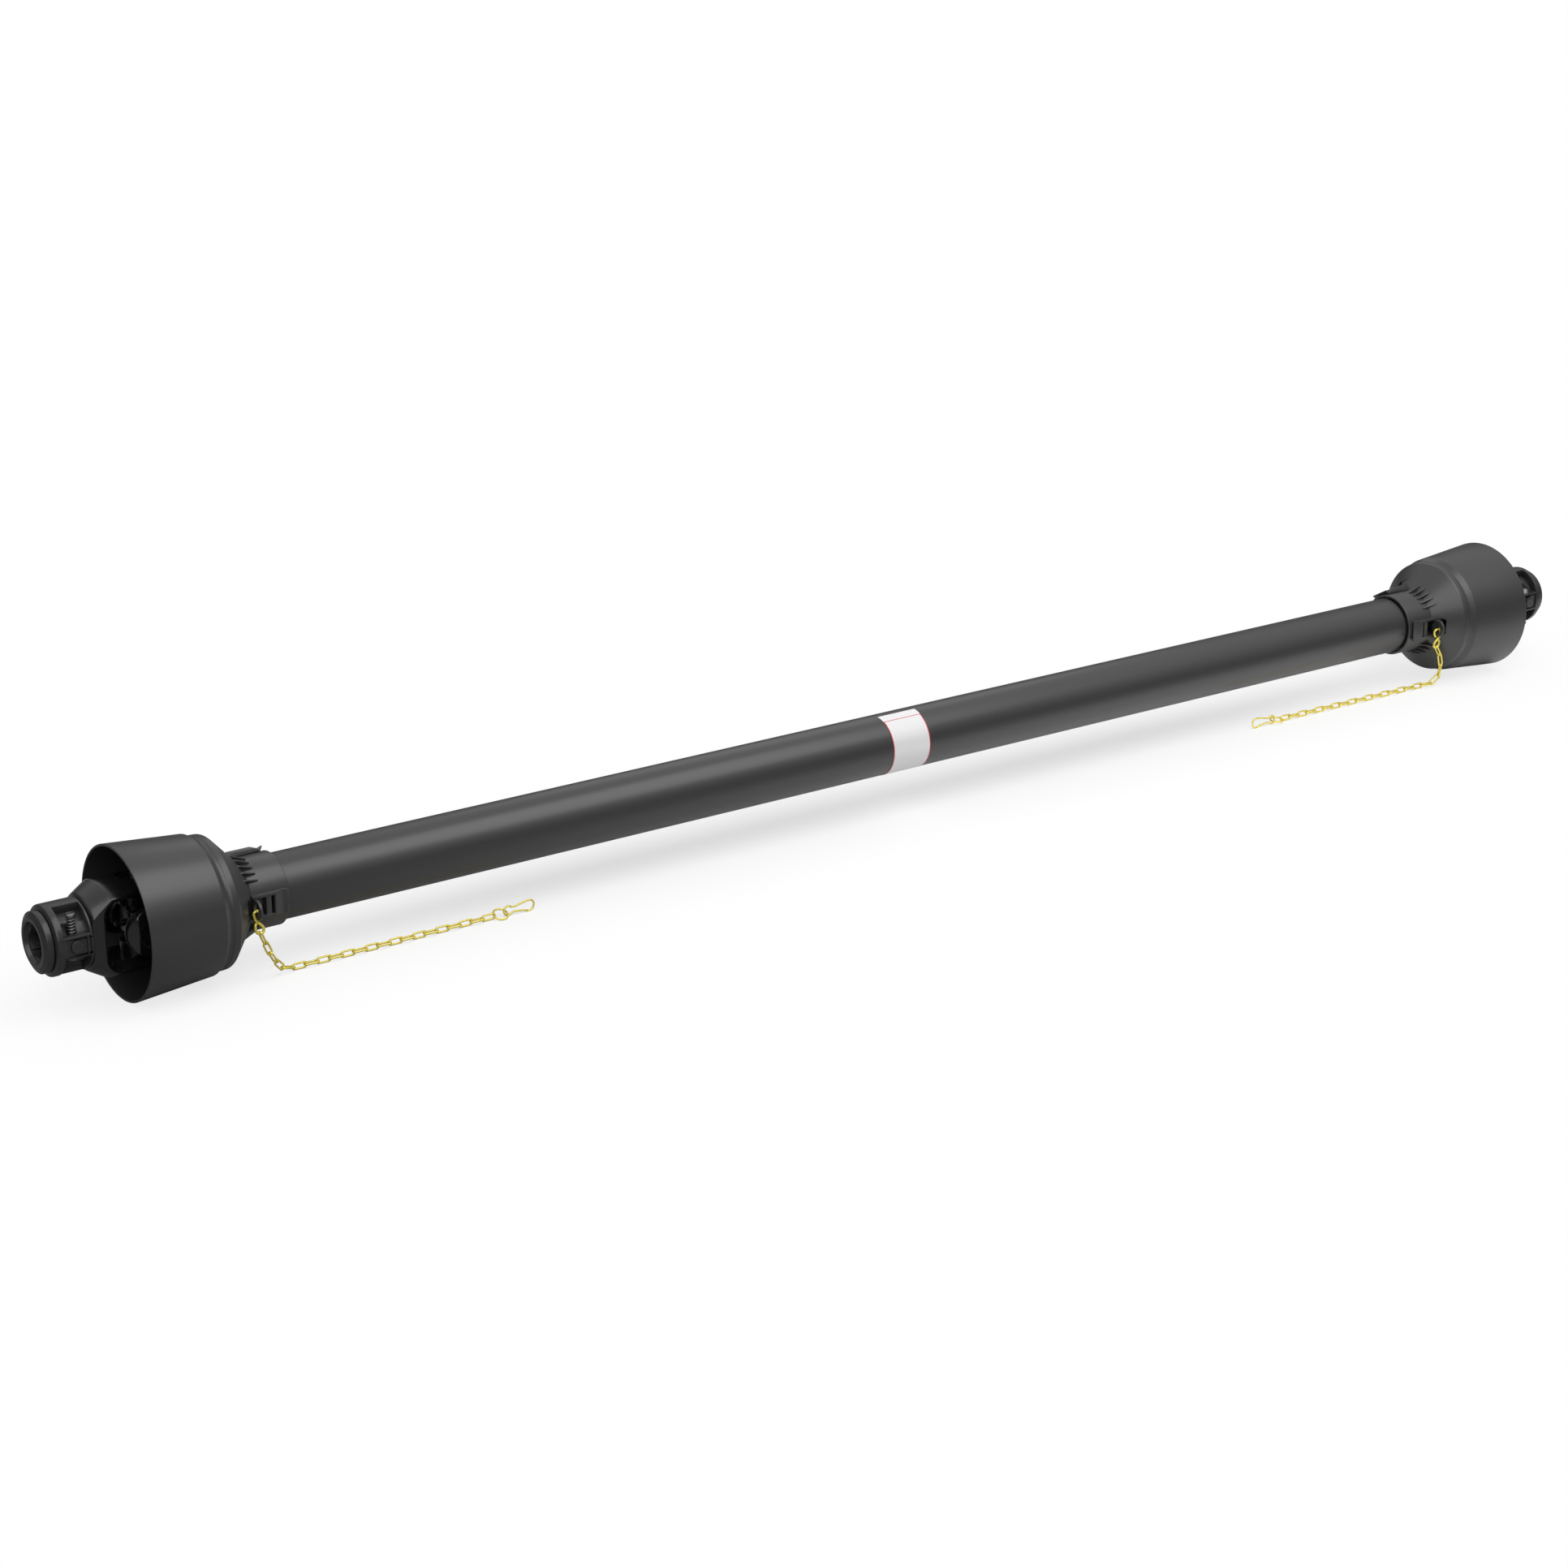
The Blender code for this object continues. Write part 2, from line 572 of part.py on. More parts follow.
def inner_yoke(offset):
    """Yoke on the drive tube: the fork looks outward, its ears on the shaft's left and right."""
    fork = fork_body(-INNER_SHOULDER, INNER_REACH, INNER_HALF_WIDTH, EAR_TIP_RADIUS - 0.001, 0.0360)
    fork = cut(fork, fork_slot(INNER_DEPTH, EAR_INSIDE, INNER_HALF_WIDTH), ear_bores())
    turn = Matrix.Rotation(math.pi, 4, "Z") @ Matrix.Rotation(math.pi / 2, 4, "X")
    fork = moved(fork, turn)
    groove_end = BEARING_START + BEARING_WIDTH
    hub = lathe([(INNER_SHOULDER - 0.006, 0), (INNER_SHOULDER - 0.006, INNER_HUB_RADIUS),
                 (BEARING_START - RUNNING_GAP, INNER_HUB_RADIUS), (BEARING_START - RUNNING_GAP, BEARING_GROOVE_RADIUS),
                 (groove_end + RUNNING_GAP, BEARING_GROOVE_RADIUS), (groove_end + RUNNING_GAP, INNER_HUB_RADIUS - 0.001),
                 (INNER_HUB_END, INNER_HUB_RADIUS - 0.001), (INNER_HUB_END, 0)], YOKE_SIDES)
    yoke = unite(fork, hub)
    socket = prism(lobe_outline(offset + RUNNING_GAP), "x", TUBE_SOCKET - RUNNING_GAP, INNER_HUB_END + 0.01)
    relief = rod(0.0150, INNER_DEPTH - 0.01, TUBE_SOCKET + 0.01, 12)
    pin = rod(ROLL_PIN_RADIUS + RUNNING_GAP, -0.05, 0.05, 12, "z", (ROLL_PIN_PLACE, 0, 0))
    return cut(yoke, socket, relief, pin)


def roll_pin():
    """A slit spring pin across the hub and the drive tube."""
    half = INNER_HUB_RADIUS - 0.0010
    inner = ROLL_PIN_RADIUS - ROLL_PIN_WALL
    pin = lathe([(-half, inner), (-half, ROLL_PIN_RADIUS - 0.0006), (-half + 0.0008, ROLL_PIN_RADIUS),
                 (half - 0.0008, ROLL_PIN_RADIUS), (half, ROLL_PIN_RADIUS - 0.0006), (half, inner)], 8)
    slit = box((-half - 0.01, half + 0.01), (-ROLL_PIN_SLIT / 2, ROLL_PIN_SLIT / 2), (0, 0.01))
    pin = cut(pin, slit)
    return moved(pin, Matrix.Translation((ROLL_PIN_PLACE, 0, 0)) @ Matrix.Rotation(math.pi / 2, 4, "Y"))


def shield_bearing():
    """Nylon ring that runs in the groove of the inner yoke and carries the shield cone."""
    inner = BEARING_GROOVE_RADIUS + RUNNING_GAP
    outer = SLEEVE_RADIUS - RUNNING_GAP
    end = BEARING_START + BEARING_WIDTH
    return lathe([(BEARING_START, inner), (BEARING_START, outer), (end, outer), (end, inner)])


# Shield

def cone_shell(bore):
    """Turned shell of the shield cone: bell, band, funnel, neck and the bearing's seat inside."""
    groove = BELL_END + 0.0046
    outside = [(RIM_PLACE, RIM_RADIUS), (BELL_END - 0.0008, BELL_END_RADIUS), (groove, BAND_RADIUS - GROOVE_DEPTH),
               (groove + 0.0038, BAND_RADIUS), (FUNNEL_START - 0.0014, BAND_RADIUS),
               (FUNNEL_START + 0.0018, BAND_RADIUS - 0.0028), (FUNNEL_FOOT, NECK_RADIUS),
               (NECK_END, NECK_RADIUS - 0.0004)]
    seat_end = BEARING_START + BEARING_WIDTH + RUNNING_GAP
    sleeve_outside = SLEEVE_RADIUS + SLEEVE_WALL
    meet = FUNNEL_FOOT - (sleeve_outside - NECK_RADIUS) / FUNNEL_SLOPE - 2 * SHELL_WALL
    inside = [(NECK_END, bore), (seat_end, bore), (seat_end, SLEEVE_RADIUS), (SLEEVE_START, SLEEVE_RADIUS),
              (SLEEVE_START, sleeve_outside), (meet, sleeve_outside),
              (FUNNEL_START - 0.0004, BAND_RADIUS - 1.5 * SHELL_WALL), (groove - 0.001, BAND_RADIUS - 1.5 * SHELL_WALL),
              (BELL_END - 0.003, BELL_END_RADIUS - SHELL_WALL), (RIM_PLACE, RIM_RADIUS - SHELL_WALL)]
    return lathe(outside + inside)


def fins():
    """Groups of gusset fins between the funnel and the neck."""
    start = FUNNEL_FOOT - FIN_HEIGHT / FUNNEL_SLOPE - 0.0010
    foot = NECK_RADIUS - 0.0006
    outline = [(FUNNEL_FOOT - 0.0008, foot), (start, NECK_RADIUS + FIN_HEIGHT), (start + FIN_LENGTH, foot)]
    made = []
    for group in range(LATCHES):
        centre = 2 * math.pi * (group + 0.5) / LATCHES
        for place in range(FINS):
            angle = centre + (place - (FINS - 1) / 2) * FIN_STEP
            fin = prism([(x, -r) for x, r in outline], "z", -FIN_THICKNESS / 2, FIN_THICKNESS / 2)
            made.append(moved(fin, Matrix.Rotation(-angle, 4, "X")))
    return made


def latch(ear):
    """Raised latch housing on the -Y side of the neck; one of them also carries the chain's ear."""
    foot = NECK_RADIUS - 0.0015
    outline = [(LATCH_START, foot), (LATCH_START, LATCH_ROOF), (LATCH_RAMP, LATCH_ROOF), (LATCH_END, foot)]
    housing = prism([(x, -r) for x, r in outline], "z", -LATCH_HALF, LATCH_HALF)
    pocket = box((LATCH_START - 0.01, LATCH_POCKET_END), (-LATCH_ROOF - 0.01, -LATCH_FLOOR),
                 (-LATCH_POCKET_HALF, LATCH_POCKET_HALF))
    housing = cut(housing, pocket)
    tongue = box((TONGUE_START, TONGUE_END), (-TONGUE_ROOF, -foot), (-LATCH_POCKET_HALF - 0.001, LATCH_POCKET_HALF + 0.001))
    housing = unite(housing, tongue)
    if not ear:
        return housing
    half = EAR_THICKNESS / 2
    disc = rod(EAR_RADIUS, EAR_PLACE - half, EAR_PLACE + half, 16, "x", (0, -EAR_OFFSET, 0))
    root = SLEEVE_RADIUS + SLEEVE_WALL / 2
    disc = cut(disc, box((EAR_PLACE - 0.01, EAR_PLACE + 0.01), (-root, 0), (-EAR_RADIUS * 1.1, EAR_RADIUS * 1.1)))
    cheek = box((EAR_PLACE, LATCH_START + 0.001), (-LATCH_ROOF, -root - 0.0005), (-LATCH_HALF * 0.8, LATCH_HALF * 0.8))
    return unite(housing, disc, cheek)


def shield_cone(bore):
    shell = cone_shell(bore)
    ports = []
    extras = fins()
    for place in range(LATCHES):
        turn = Matrix.Rotation(-2 * math.pi * place / LATCHES, 4, "X")
        port = rod(PORT_RADIUS, FUNNEL_START, EAR_PLACE - EAR_THICKNESS / 2, 10, "x", (0, -PORT_OFFSET, 0))
        ports.append(moved(port, turn))
        extras.append(moved(latch(place == 0), turn))
    shell = cut(shell, joined(ports))
    for extra in extras:
        shell = unite(shell, extra)
    hole = rod(EAR_HOLE_RADIUS, EAR_PLACE - 0.004, EAR_PLACE + 0.006, 10, "x", (0, -EAR_OFFSET, 0))
    return cut(shell, hole)


def shield_tube(radius, wall, start, end):
    inner = radius - wall
    return lathe([(start, inner), (start, radius), (end, radius), (end, inner)])


def label_band():
    """Bare label wrapped round the front of the outer shield tube."""
    inner = OUTER_TUBE_RADIUS + LABEL_LIFT
    outer = inner + LABEL_THICKNESS
    step = 2 * math.pi / ROUND_SIDES
    first = round(LABEL_BOTTOM / step) - 0.5
    last = round(LABEL_TOP / step) + 0.5
    marks = [(first + i) * step for i in range(int(last - first) + 1)]
    outline = [(-outer * math.cos(a), outer * math.sin(a)) for a in marks]
    outline += [(-inner * math.cos(a), inner * math.sin(a)) for a in reversed(marks)]
    return prism(outline, "x", LABEL_START, LABEL_END)


# Safety chains

def s_hook(sidestep):
    """Bent wire through the ear's hole, its lower loop holding the first link."""
    top = -EAR_HOLE_RADIUS + WIRE_RADIUS + RUNNING_GAP
    leg = HOOK_LEG
    below = EAR_RADIUS + WIRE_RADIUS
    loop = [(leg, -below), (leg, -0.0045), (leg * 0.7, top - 0.0004), (0, top), (-leg * 0.7, top - 0.0004),
            (-leg, -0.0045), (-leg, -below), (sidestep / 2, -below - 0.0022)]
    bowl = circle(HOOK_BOWL, 8, (sidestep, HOOK_BOWL - HOOK_DROP), math.radians(35), -math.radians(240))
    return wire([(x, 0, z) for x, z in loop + bowl], WIRE_RADIUS, 5)


def link():
    """One link of the chain along x, in the xz plane."""
    bend = LINK_WIDTH / 2 - WIRE_RADIUS
    half = (LINK_PITCH - LINK_SEAT + 2 * WIRE_RADIUS) / 2 - bend
    right = circle(bend, 3, (half, 0), -math.pi / 2, math.pi)
    left = [(-x, -z) for x, z in right]
    return wire([(x, 0, z) for x, z in right + left], WIRE_RADIUS, 4, closed=True)


def chain_joints(route, count):
    """Centres where the links meet: equal steps of one pitch along the route."""
    points = [Vector(p) for p in route]
    joints = [points[0]]
    leg = 0
    while len(joints) <= count:
        here = joints[-1]
        while leg < len(points) - 2 and (points[leg + 1] - here).length < LINK_PITCH:
            leg += 1
        start, end = points[leg], points[leg + 1]
        along = (end - start).normalized()
        foot = (here - start).dot(along)
        aside = (here - start - along * foot).length
        reach = math.sqrt(max(LINK_PITCH ** 2 - aside ** 2, 0))
        joints.append(start + along * (foot + reach))
    return joints


def chain(joints, origin):
    """Links between the joints, each turned a quarter against the last, seated in one another."""
    plain = link()
    links = []
    for place, (first, second) in enumerate(zip(joints, joints[1:])):
        along = (second - first).normalized()
        flat = Vector((0, 0, 1)).cross(along)
        side = flat.normalized() if flat.length > 0.2 else Vector((0, 1, 0)).cross(along).cross(along).normalized()
        up = along.cross(side)
        if place % 2 == 0:
            side, up = up, -side
        frame = Matrix((along, side, up)).transposed().to_4x4()
        links.append(moved(plain, Matrix.Translation((first + second) / 2 - origin) @ frame))
    return combine(links[0], joined(links[1:]), "UNION", overlapping=True)


def ring(tilt):
    """Plain ring, tilted as it lies with one side on the floor."""
    path = [(RING_RADIUS * math.cos(a), RING_RADIUS * math.sin(a) * math.cos(tilt),
             RING_RADIUS * math.sin(a) * math.sin(tilt))
            for a in (2 * math.pi * step / 12 for step in range(12))]
    return wire(path, WIRE_RADIUS, 5, closed=True)


def snap_hook(direction):
    """Pear-shaped hook of one bent wire: eye at the zero, nose and sprung gate at the far end."""
    eye = circle(SNAP_EYE_RADIUS, 9, (0, 0), math.radians(55), math.radians(250))
    tip = SNAP_LENGTH - SNAP_EYE_RADIUS
    spine = [(tip - 0.0090, -0.0052), (tip - 0.0050, -0.0050), (tip - 0.0012, -0.0030), (tip, 0.0005),
             (tip - 0.0014, 0.0036), (tip - 0.0050, 0.0050), (tip - 0.0100, 0.0046), (0.0105, 0.0022), (0.0075, 0.0020),
             (0.0050, 0.0028)]
    gate = [(0.0056, -0.0030), (0.0085, -0.0018), (0.0150, -0.0024), (tip - 0.0070, -0.0030)]
    return wire([(direction * x, 0, z) for x, z in spine + eye + gate], SNAP_WIRE, 4)


def empty(name, location, turn=0.0):
    made = bpy.data.objects.new(name, None)
    made.location = location
    made.rotation_euler = (0, turn, 0)
    bpy.context.collection.objects.link(made)
    return made


def place(name, mesh, paint, parent):
    mesh.materials.clear()
    mesh.materials.append(paint)
    mesh.name = name
    mesh.shade_smooth()
    mesh.set_sharp_from_angle(angle=math.radians(32))
    made = bpy.data.objects.new(name, mesh)
    made.parent = parent
    bpy.context.collection.objects.link(made)
    return made


def quarter(mesh, axis, turns):
    return moved(mesh, Matrix.Rotation(turns * math.pi / 2, 4, axis))


def build_end(tag, frame, paints, shared, bore, drive_offset):
    """Everything at one end that turns with the shaft or covers it."""
    steel, bright, plastic, nylon = paints["steel"], paints["bright"], paints["plastic"], paints["nylon"]
    for name, paint in (("end_yoke", steel), ("lock_collar", steel), ("lock_pin", bright), ("lock_spring", bright),
                        ("cross", bright), ("grease_nipple", bright), ("roll_pin", bright), ("shield_bearing", nylon)):
        place(f"{name}_{tag}", shared[name], paint, frame)
    for side, (axis, turns) in {"top": ("Y", -1), "bottom": ("Y", 1), "left": ("Z", -1), "right": ("Z", 1)}.items():
        place(f"bearing_cup_{side}_{tag}", quarter(shared["bearing_cup"], axis, turns), bright, frame)
        place(f"circlip_{side}_{tag}", quarter(shared["circlip"], axis, turns), bright, frame)
    place(f"inner_yoke_{tag}", inner_yoke(drive_offset), steel, frame)
    place(f"shield_cone_{tag}", shield_cone(bore), plastic, frame)


def build_chain(tag, ear, route, direction, sidestep, tilt, paints):
    """S-hook, chain, ring and snap hook; the chain's own zero is the ear's hole."""
    gold = paints["gold"]
    pivot = empty(f"ear_{tag}", ear)
    origin = Vector(ear)
    place(f"s_hook_{tag}", s_hook(sidestep), gold, pivot)
    drop = HOOK_DROP - BEND_SEAT + WIRE_RADIUS - LINK_SEAT / 2
    start = origin + Vector((sidestep, 0, -drop))
    joints = chain_joints([start] + route, LINKS)
    place(f"chain_{tag}", chain(joints, origin), gold, pivot)
    reach = WIRE_RADIUS - LINK_SEAT / 2 + RING_RADIUS - BEND_SEAT
    ring_centre = joints[-1] + Vector((direction * reach, 0, 0))
    ring_pivot = empty(f"ring_pivot_{tag}", ring_centre)
    place(f"ring_{tag}", ring(tilt), gold, ring_pivot)
    spare = SNAP_EYE_RADIUS - SNAP_WIRE - WIRE_RADIUS - RUNNING_GAP
    lift = SNAP_EYE_RADIUS + SNAP_WIRE + 0.0005 - ring_centre.z
    reach = math.sqrt(spare ** 2 - lift ** 2)
    eye = ring_centre + Vector((direction * (RING_RADIUS + reach), 0, lift))
    place(f"snap_hook_{tag}", snap_hook(direction), gold, empty(f"snap_pivot_{tag}", eye))


def main():
    clear_scene()
    paints = {
        "steel": material("black_steel", (0.022, 0.022, 0.023), 0.32, 0.0),
        "bright": material("bright_steel", (0.42, 0.42, 0.42), 0.35, 1.0),
        "plastic": material("shield_plastic", (0.060, 0.060, 0.062), 0.55, 0.0),
        "nylon": material("bearing_nylon", (0.75, 0.74, 0.70), 0.50, 0.0),
        "gold": material("yellow_zinc", (0.72, 0.56, 0.20), 0.28, 1.0),
        "tube": material("drive_tube_steel", (0.10, 0.10, 0.10), 0.45, 0.7),
        "label": material("label_film", (0.85, 0.84, 0.84), 0.45, 0.0),
    }
    shared = {"end_yoke": end_yoke(), "lock_collar": lock_collar(), "lock_pin": lock_pin(),
              "lock_spring": lock_spring(), "cross": cross(), "grease_nipple": grease_nipple(),
              "roll_pin": roll_pin(), "shield_bearing": shield_bearing(), "bearing_cup": bearing_cup(),
              "circlip": circlip()}
    half = CLOSED_SPAN / 2
    near = empty("near_end", (-half, 0, AXIS_HEIGHT))
    far = empty("far_end", (half, 0, AXIS_HEIGHT), math.pi)
    middle = empty("middle", (0, 0, AXIS_HEIGHT))
    nested = -OUTER_DRIVE_WALL - TUBE_SLIP
    build_end("a", near, paints, shared, OUTER_TUBE_RADIUS + RUNNING_GAP, 0.0)
    build_end("b", far, paints, shared, INNER_TUBE_RADIUS + RUNNING_GAP, nested)

    outer_end = half - INNER_HUB_END - OUTER_DRIVE_END_GAP
    place("outer_drive_tube", drive_tube(0.0, OUTER_DRIVE_WALL, -half + TUBE_SOCKET, outer_end, -half + ROLL_PIN_PLACE),
          paints["tube"], middle)
    place("inner_drive_tube", drive_tube(nested, INNER_DRIVE_WALL, -half + INNER_DRIVE_END, half - TUBE_SOCKET,
                                         half - ROLL_PIN_PLACE), paints["tube"], middle)
    place("outer_shield_tube", shield_tube(OUTER_TUBE_RADIUS, OUTER_TUBE_WALL, -half + SHIELD_TUBE_START,
                                           half - NECK_END - NECK_GAP), paints["plastic"], middle)
    place("inner_shield_tube", shield_tube(INNER_TUBE_RADIUS, INNER_TUBE_WALL, -half + INNER_TUBE_END,
                                           half - SHIELD_TUBE_START), paints["plastic"], middle)
    place("label_band", label_band(), paints["label"], middle)

    ear = half - EAR_PLACE
    build_chain("a", (-ear, -EAR_OFFSET, AXIS_HEIGHT), NEAR_DROP, 1, NEAR_SIDESTEP, NEAR_RING_TILT, paints)
    build_chain("b", (ear, -EAR_OFFSET, AXIS_HEIGHT), FAR_DROP, -1, 0, FAR_RING_TILT, paints)


main()
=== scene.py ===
import math

import bmesh
import bpy
from mathutils import Matrix, Vector


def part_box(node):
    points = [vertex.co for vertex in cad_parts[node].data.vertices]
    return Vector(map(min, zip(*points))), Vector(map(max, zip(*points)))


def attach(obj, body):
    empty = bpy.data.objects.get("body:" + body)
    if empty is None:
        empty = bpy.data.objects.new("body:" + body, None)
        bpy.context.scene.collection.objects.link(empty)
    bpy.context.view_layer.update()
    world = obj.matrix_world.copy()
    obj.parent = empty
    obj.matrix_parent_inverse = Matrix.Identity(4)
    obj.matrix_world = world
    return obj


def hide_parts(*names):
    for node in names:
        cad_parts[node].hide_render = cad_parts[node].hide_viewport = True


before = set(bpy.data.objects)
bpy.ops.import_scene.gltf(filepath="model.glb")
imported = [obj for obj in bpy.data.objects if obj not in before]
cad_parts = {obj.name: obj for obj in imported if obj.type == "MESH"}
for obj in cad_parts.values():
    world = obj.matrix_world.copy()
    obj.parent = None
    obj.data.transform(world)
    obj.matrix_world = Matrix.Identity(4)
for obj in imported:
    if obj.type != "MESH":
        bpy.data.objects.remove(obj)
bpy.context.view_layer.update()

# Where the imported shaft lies: the two joint centres and the height of its axis
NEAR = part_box("cross_a")
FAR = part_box("cross_b")
NEAR_CENTRE = (NEAR[0] + NEAR[1]) / 2
FAR_CENTRE = (FAR[0] + FAR[1]) / 2
AXIS_HEIGHT = NEAR_CENTRE.z

# The camera that took the photograph
CAMERA_PLACE = (-2.08846, -2.66844, 1.20374)
CAMERA_RIGHT = Vector((0.8090, -0.5878, 0.0))
CAMERA_UP = Vector((0.19313, 0.26583, 0.94448))
CAMERA_LENS = 75.4
CAMERA_SENSOR = 36

# End yoke and lock collar, from the joint centre outwards
NOSE = -0.1020
BORE_MAJOR = 0.01745
BORE_MINOR = 0.01490
TOOTH_GAP = 0.0088
COLLAR_FRONT = -0.0924
COLLAR_BACK = -0.0560
COLLAR_RADIUS = 0.0345
HUB_RADIUS = 0.0260
WINDOW_FRONT = -0.0845
WINDOW_BACK = -0.0585
LUG_HALF = 0.0107
PIN_X = -0.0730
PIN_Y = -0.0230
PIN_STEM_RADIUS = 0.0026
SPRING_HIGH = 0.0262
SPRING_RADIUS = 0.0039
SPRING_WIRE = 0.00078
SPRING_TURNS = 5.5

# Universal joint
EAR_BORE = 0.0154
JOURNAL_RADIUS = 0.0090
JOURNAL_REACH = 0.0379
CUP_RADIUS = 0.0151
CUP_BORE = 0.0093
CUP_FOOT = 0.0185
CUP_TOP = 0.0400
CUP_FLOOR = 0.0018
CLIP_RADIUS = 0.0163
CLIP_WIDTH = 0.0034
CLIP_START = 0.0404
CLIP_THICKNESS = 0.0016

# Shield cone, from the joint centre inwards
RIM_X = -0.0184
RIM_RADIUS = 0.0762
BELL_END_X = 0.0622
BAND_RADIUS = 0.0659
FOOT_X = 0.1040
NECK_RADIUS = 0.0365
NECK_END_X = 0.1436
WALL = 0.0023
TUBE_RADIUS = 0.03295
INNER_TUBE_RADIUS = 0.0305
NEAR_BORE = 0.0333
FAR_BORE = 0.0308
FAR_MOUTH_RADIUS = 0.0341
FAR_MOUTH_START = 0.1330
THIRDS = [-2 * math.pi * place / 3 for place in range(3)]
FIN_HALF = 0.0007
FIN_STEP = math.radians(11)
LATCH_FRONT = 0.1020
LATCH_HALF = 0.0120
LATCH_ROOF = 0.0415
LATCH_FOOT = 0.0350
EAR_PLACE = 0.1040
EAR_OFFSET = 0.0460
EAR_RADIUS = 0.0101
EAR_HALF = 0.0015

# Label round the outer guard tube, by angle above the camera side
LABEL_TOP = math.radians(84)
LABEL_BOTTOM = math.radians(-108)

# Safety chains
WIRE = 0.0010
LINK_COUNT = 22
LINK_WIDTH = 0.0076
NEAR_PITCH = 0.01326
FAR_PITCH = 0.01352
HOOK_WIRE = 0.0014
HOOK_DROP = 0.0246
HOOK_LEAN = 0.0016
RING_RADIUS = 0.0075
NEAR_RING_TILT = math.radians(25)
FAR_RING_TILT = math.radians(4)
SNAP_WIRE = 0.00095
SNAP_EYE_RADIUS = 0.0049
SNAP_EYE_INSET = 0.00545
SNAP_EYE_HEIGHT = 0.0060
# Points of each chain: along the shaft from its ear, aside from the axis and above the floor
NEAR_ROUTE = [(0.0070, -0.0450, 0.0395), (0.0140, -0.0430, 0.0245), (0.0235, -0.0390, 0.0105),
              (0.0320, -0.0358, 0.0046), (0.0400, -0.0346, 0.0042), (0.3450, -0.0320, 0.0042)]
FAR_ROUTE = [(0.0067, -0.0460, 0.0385), (0.0090, -0.0460, 0.0250), (0.0067, -0.0450, 0.0130),
             (-0.0020, -0.0415, 0.0050), (-0.0170, -0.0383, 0.0042), (-0.3050, -0.0322, 0.0042)]

# Points nearer together than the first are merged, and the second tells one place along an axis
SAME_POINT = 0.000005
SAME_PLACE = 0.00001
# Half the angle of a corner that is left as it is
NEARLY_STRAIGHT = math.radians(88)


def deselect():
    bpy.ops.object.select_all(action="DESELECT")


def pick(piece):
    """Only this piece is selected and active."""
    deselect()
    piece.select_set(True)
    bpy.context.view_layer.objects.active = piece


def edit_all(piece):
    pick(piece)
    bpy.ops.object.mode_set(mode="EDIT")
    bpy.ops.mesh.select_all(action="SELECT")


def leave_edit():
    bpy.ops.object.mode_set(mode="OBJECT")


def choose(piece, test):
    """In edit mode, only the points that pass the test are selected."""
    bpy.ops.mesh.select_all(action="DESELECT")
    mesh = bmesh.from_edit_mesh(piece.data)
    for vert in mesh.verts:
        vert.select = test(vert.co)
    mesh.select_flush(True)
    bmesh.update_edit_mesh(piece.data)


def settle(piece):
    """The piece's place goes into its mesh."""
    pick(piece)
    bpy.ops.object.transform_apply(location=True, rotation=True, scale=True)
    return piece


def drawn_line(name, points):
    """A new piece that is one line through the points: a primitive merged to a point, then extruded."""
    deselect()
    bpy.ops.mesh.primitive_plane_add(size=0.001)
    piece = bpy.context.object
    piece.name = name
    edit_all(piece)
    bpy.ops.mesh.merge(type="CENTER")
    bpy.ops.transform.translate(value=points[0])
    for here, there in zip(points, points[1:]):
        step = Vector(there) - Vector(here)
        bpy.ops.mesh.extrude_region_move(TRANSFORM_OT_translate={"value": step})
    bpy.ops.mesh.select_all(action="SELECT")
    return piece


def rounded(outline, radius, steps=4):
    """An outline with its corners made arcs of up to the given radius, or of the corner's own third value."""
    result = []
    count = len(outline)
    for place, corner in enumerate(outline):
        here = Vector(corner[:2])
        own = corner[2] if len(corner) > 2 else radius
        if own == 0:
            result.append(tuple(here))
            continue
        before = Vector(outline[(place - 1) % count][:2]) - here
        after = Vector(outline[(place + 1) % count][:2]) - here
        half = before.angle(after) / 2
        if half > NEARLY_STRAIGHT:
            result.append(tuple(here))
            continue
        reach = min(own / math.tan(half), before.length * 0.49, after.length * 0.49)
        size = reach * math.tan(half)
        centre = here + (before.normalized() + after.normalized()).normalized() * (size / math.sin(half))
        first = here + before.normalized() * reach - centre
        last = here + after.normalized() * reach - centre
        turn = first.angle_signed(last)
        for step in range(steps + 1):
            spoke = Matrix.Rotation(-turn * step / steps, 2) @ first
            result.append(tuple(centre + spoke))
    return result


def turned(name, profile, sides=96):
    """A turned piece about X from a closed outline of (x, radius)."""
    points = [(x, 0, radius) for x, radius in profile]
    piece = drawn_line(name, points + points[:1])
    bpy.ops.mesh.spin(steps=sides, angle=2 * math.pi, center=(0, 0, 0), axis=(1, 0, 0))
    bpy.ops.mesh.select_all(action="SELECT")
    bpy.ops.mesh.remove_doubles(threshold=SAME_POINT)
    bpy.ops.mesh.normals_make_consistent(inside=False)
    leave_edit()
    return piece


def slab(name, outline, axis, low, high):
    """A flat outline pulled along one axis."""
    order = {"x": lambda u, v: (low, u, v), "y": lambda u, v: (u, low, v), "z": lambda u, v: (u, v, low)}
    pull = {"x": (high - low, 0, 0), "y": (0, high - low, 0), "z": (0, 0, high - low)}
    points = [order[axis](u, v) for u, v in outline]
    piece = drawn_line(name, points + points[:1])
    bpy.ops.mesh.remove_doubles(threshold=SAME_POINT)
    bpy.ops.mesh.edge_face_add()
    bpy.ops.mesh.extrude_region_move(TRANSFORM_OT_translate={"value": pull[axis]})
    bpy.ops.mesh.select_all(action="SELECT")
    bpy.ops.mesh.normals_make_consistent(inside=False)
    leave_edit()
    return piece


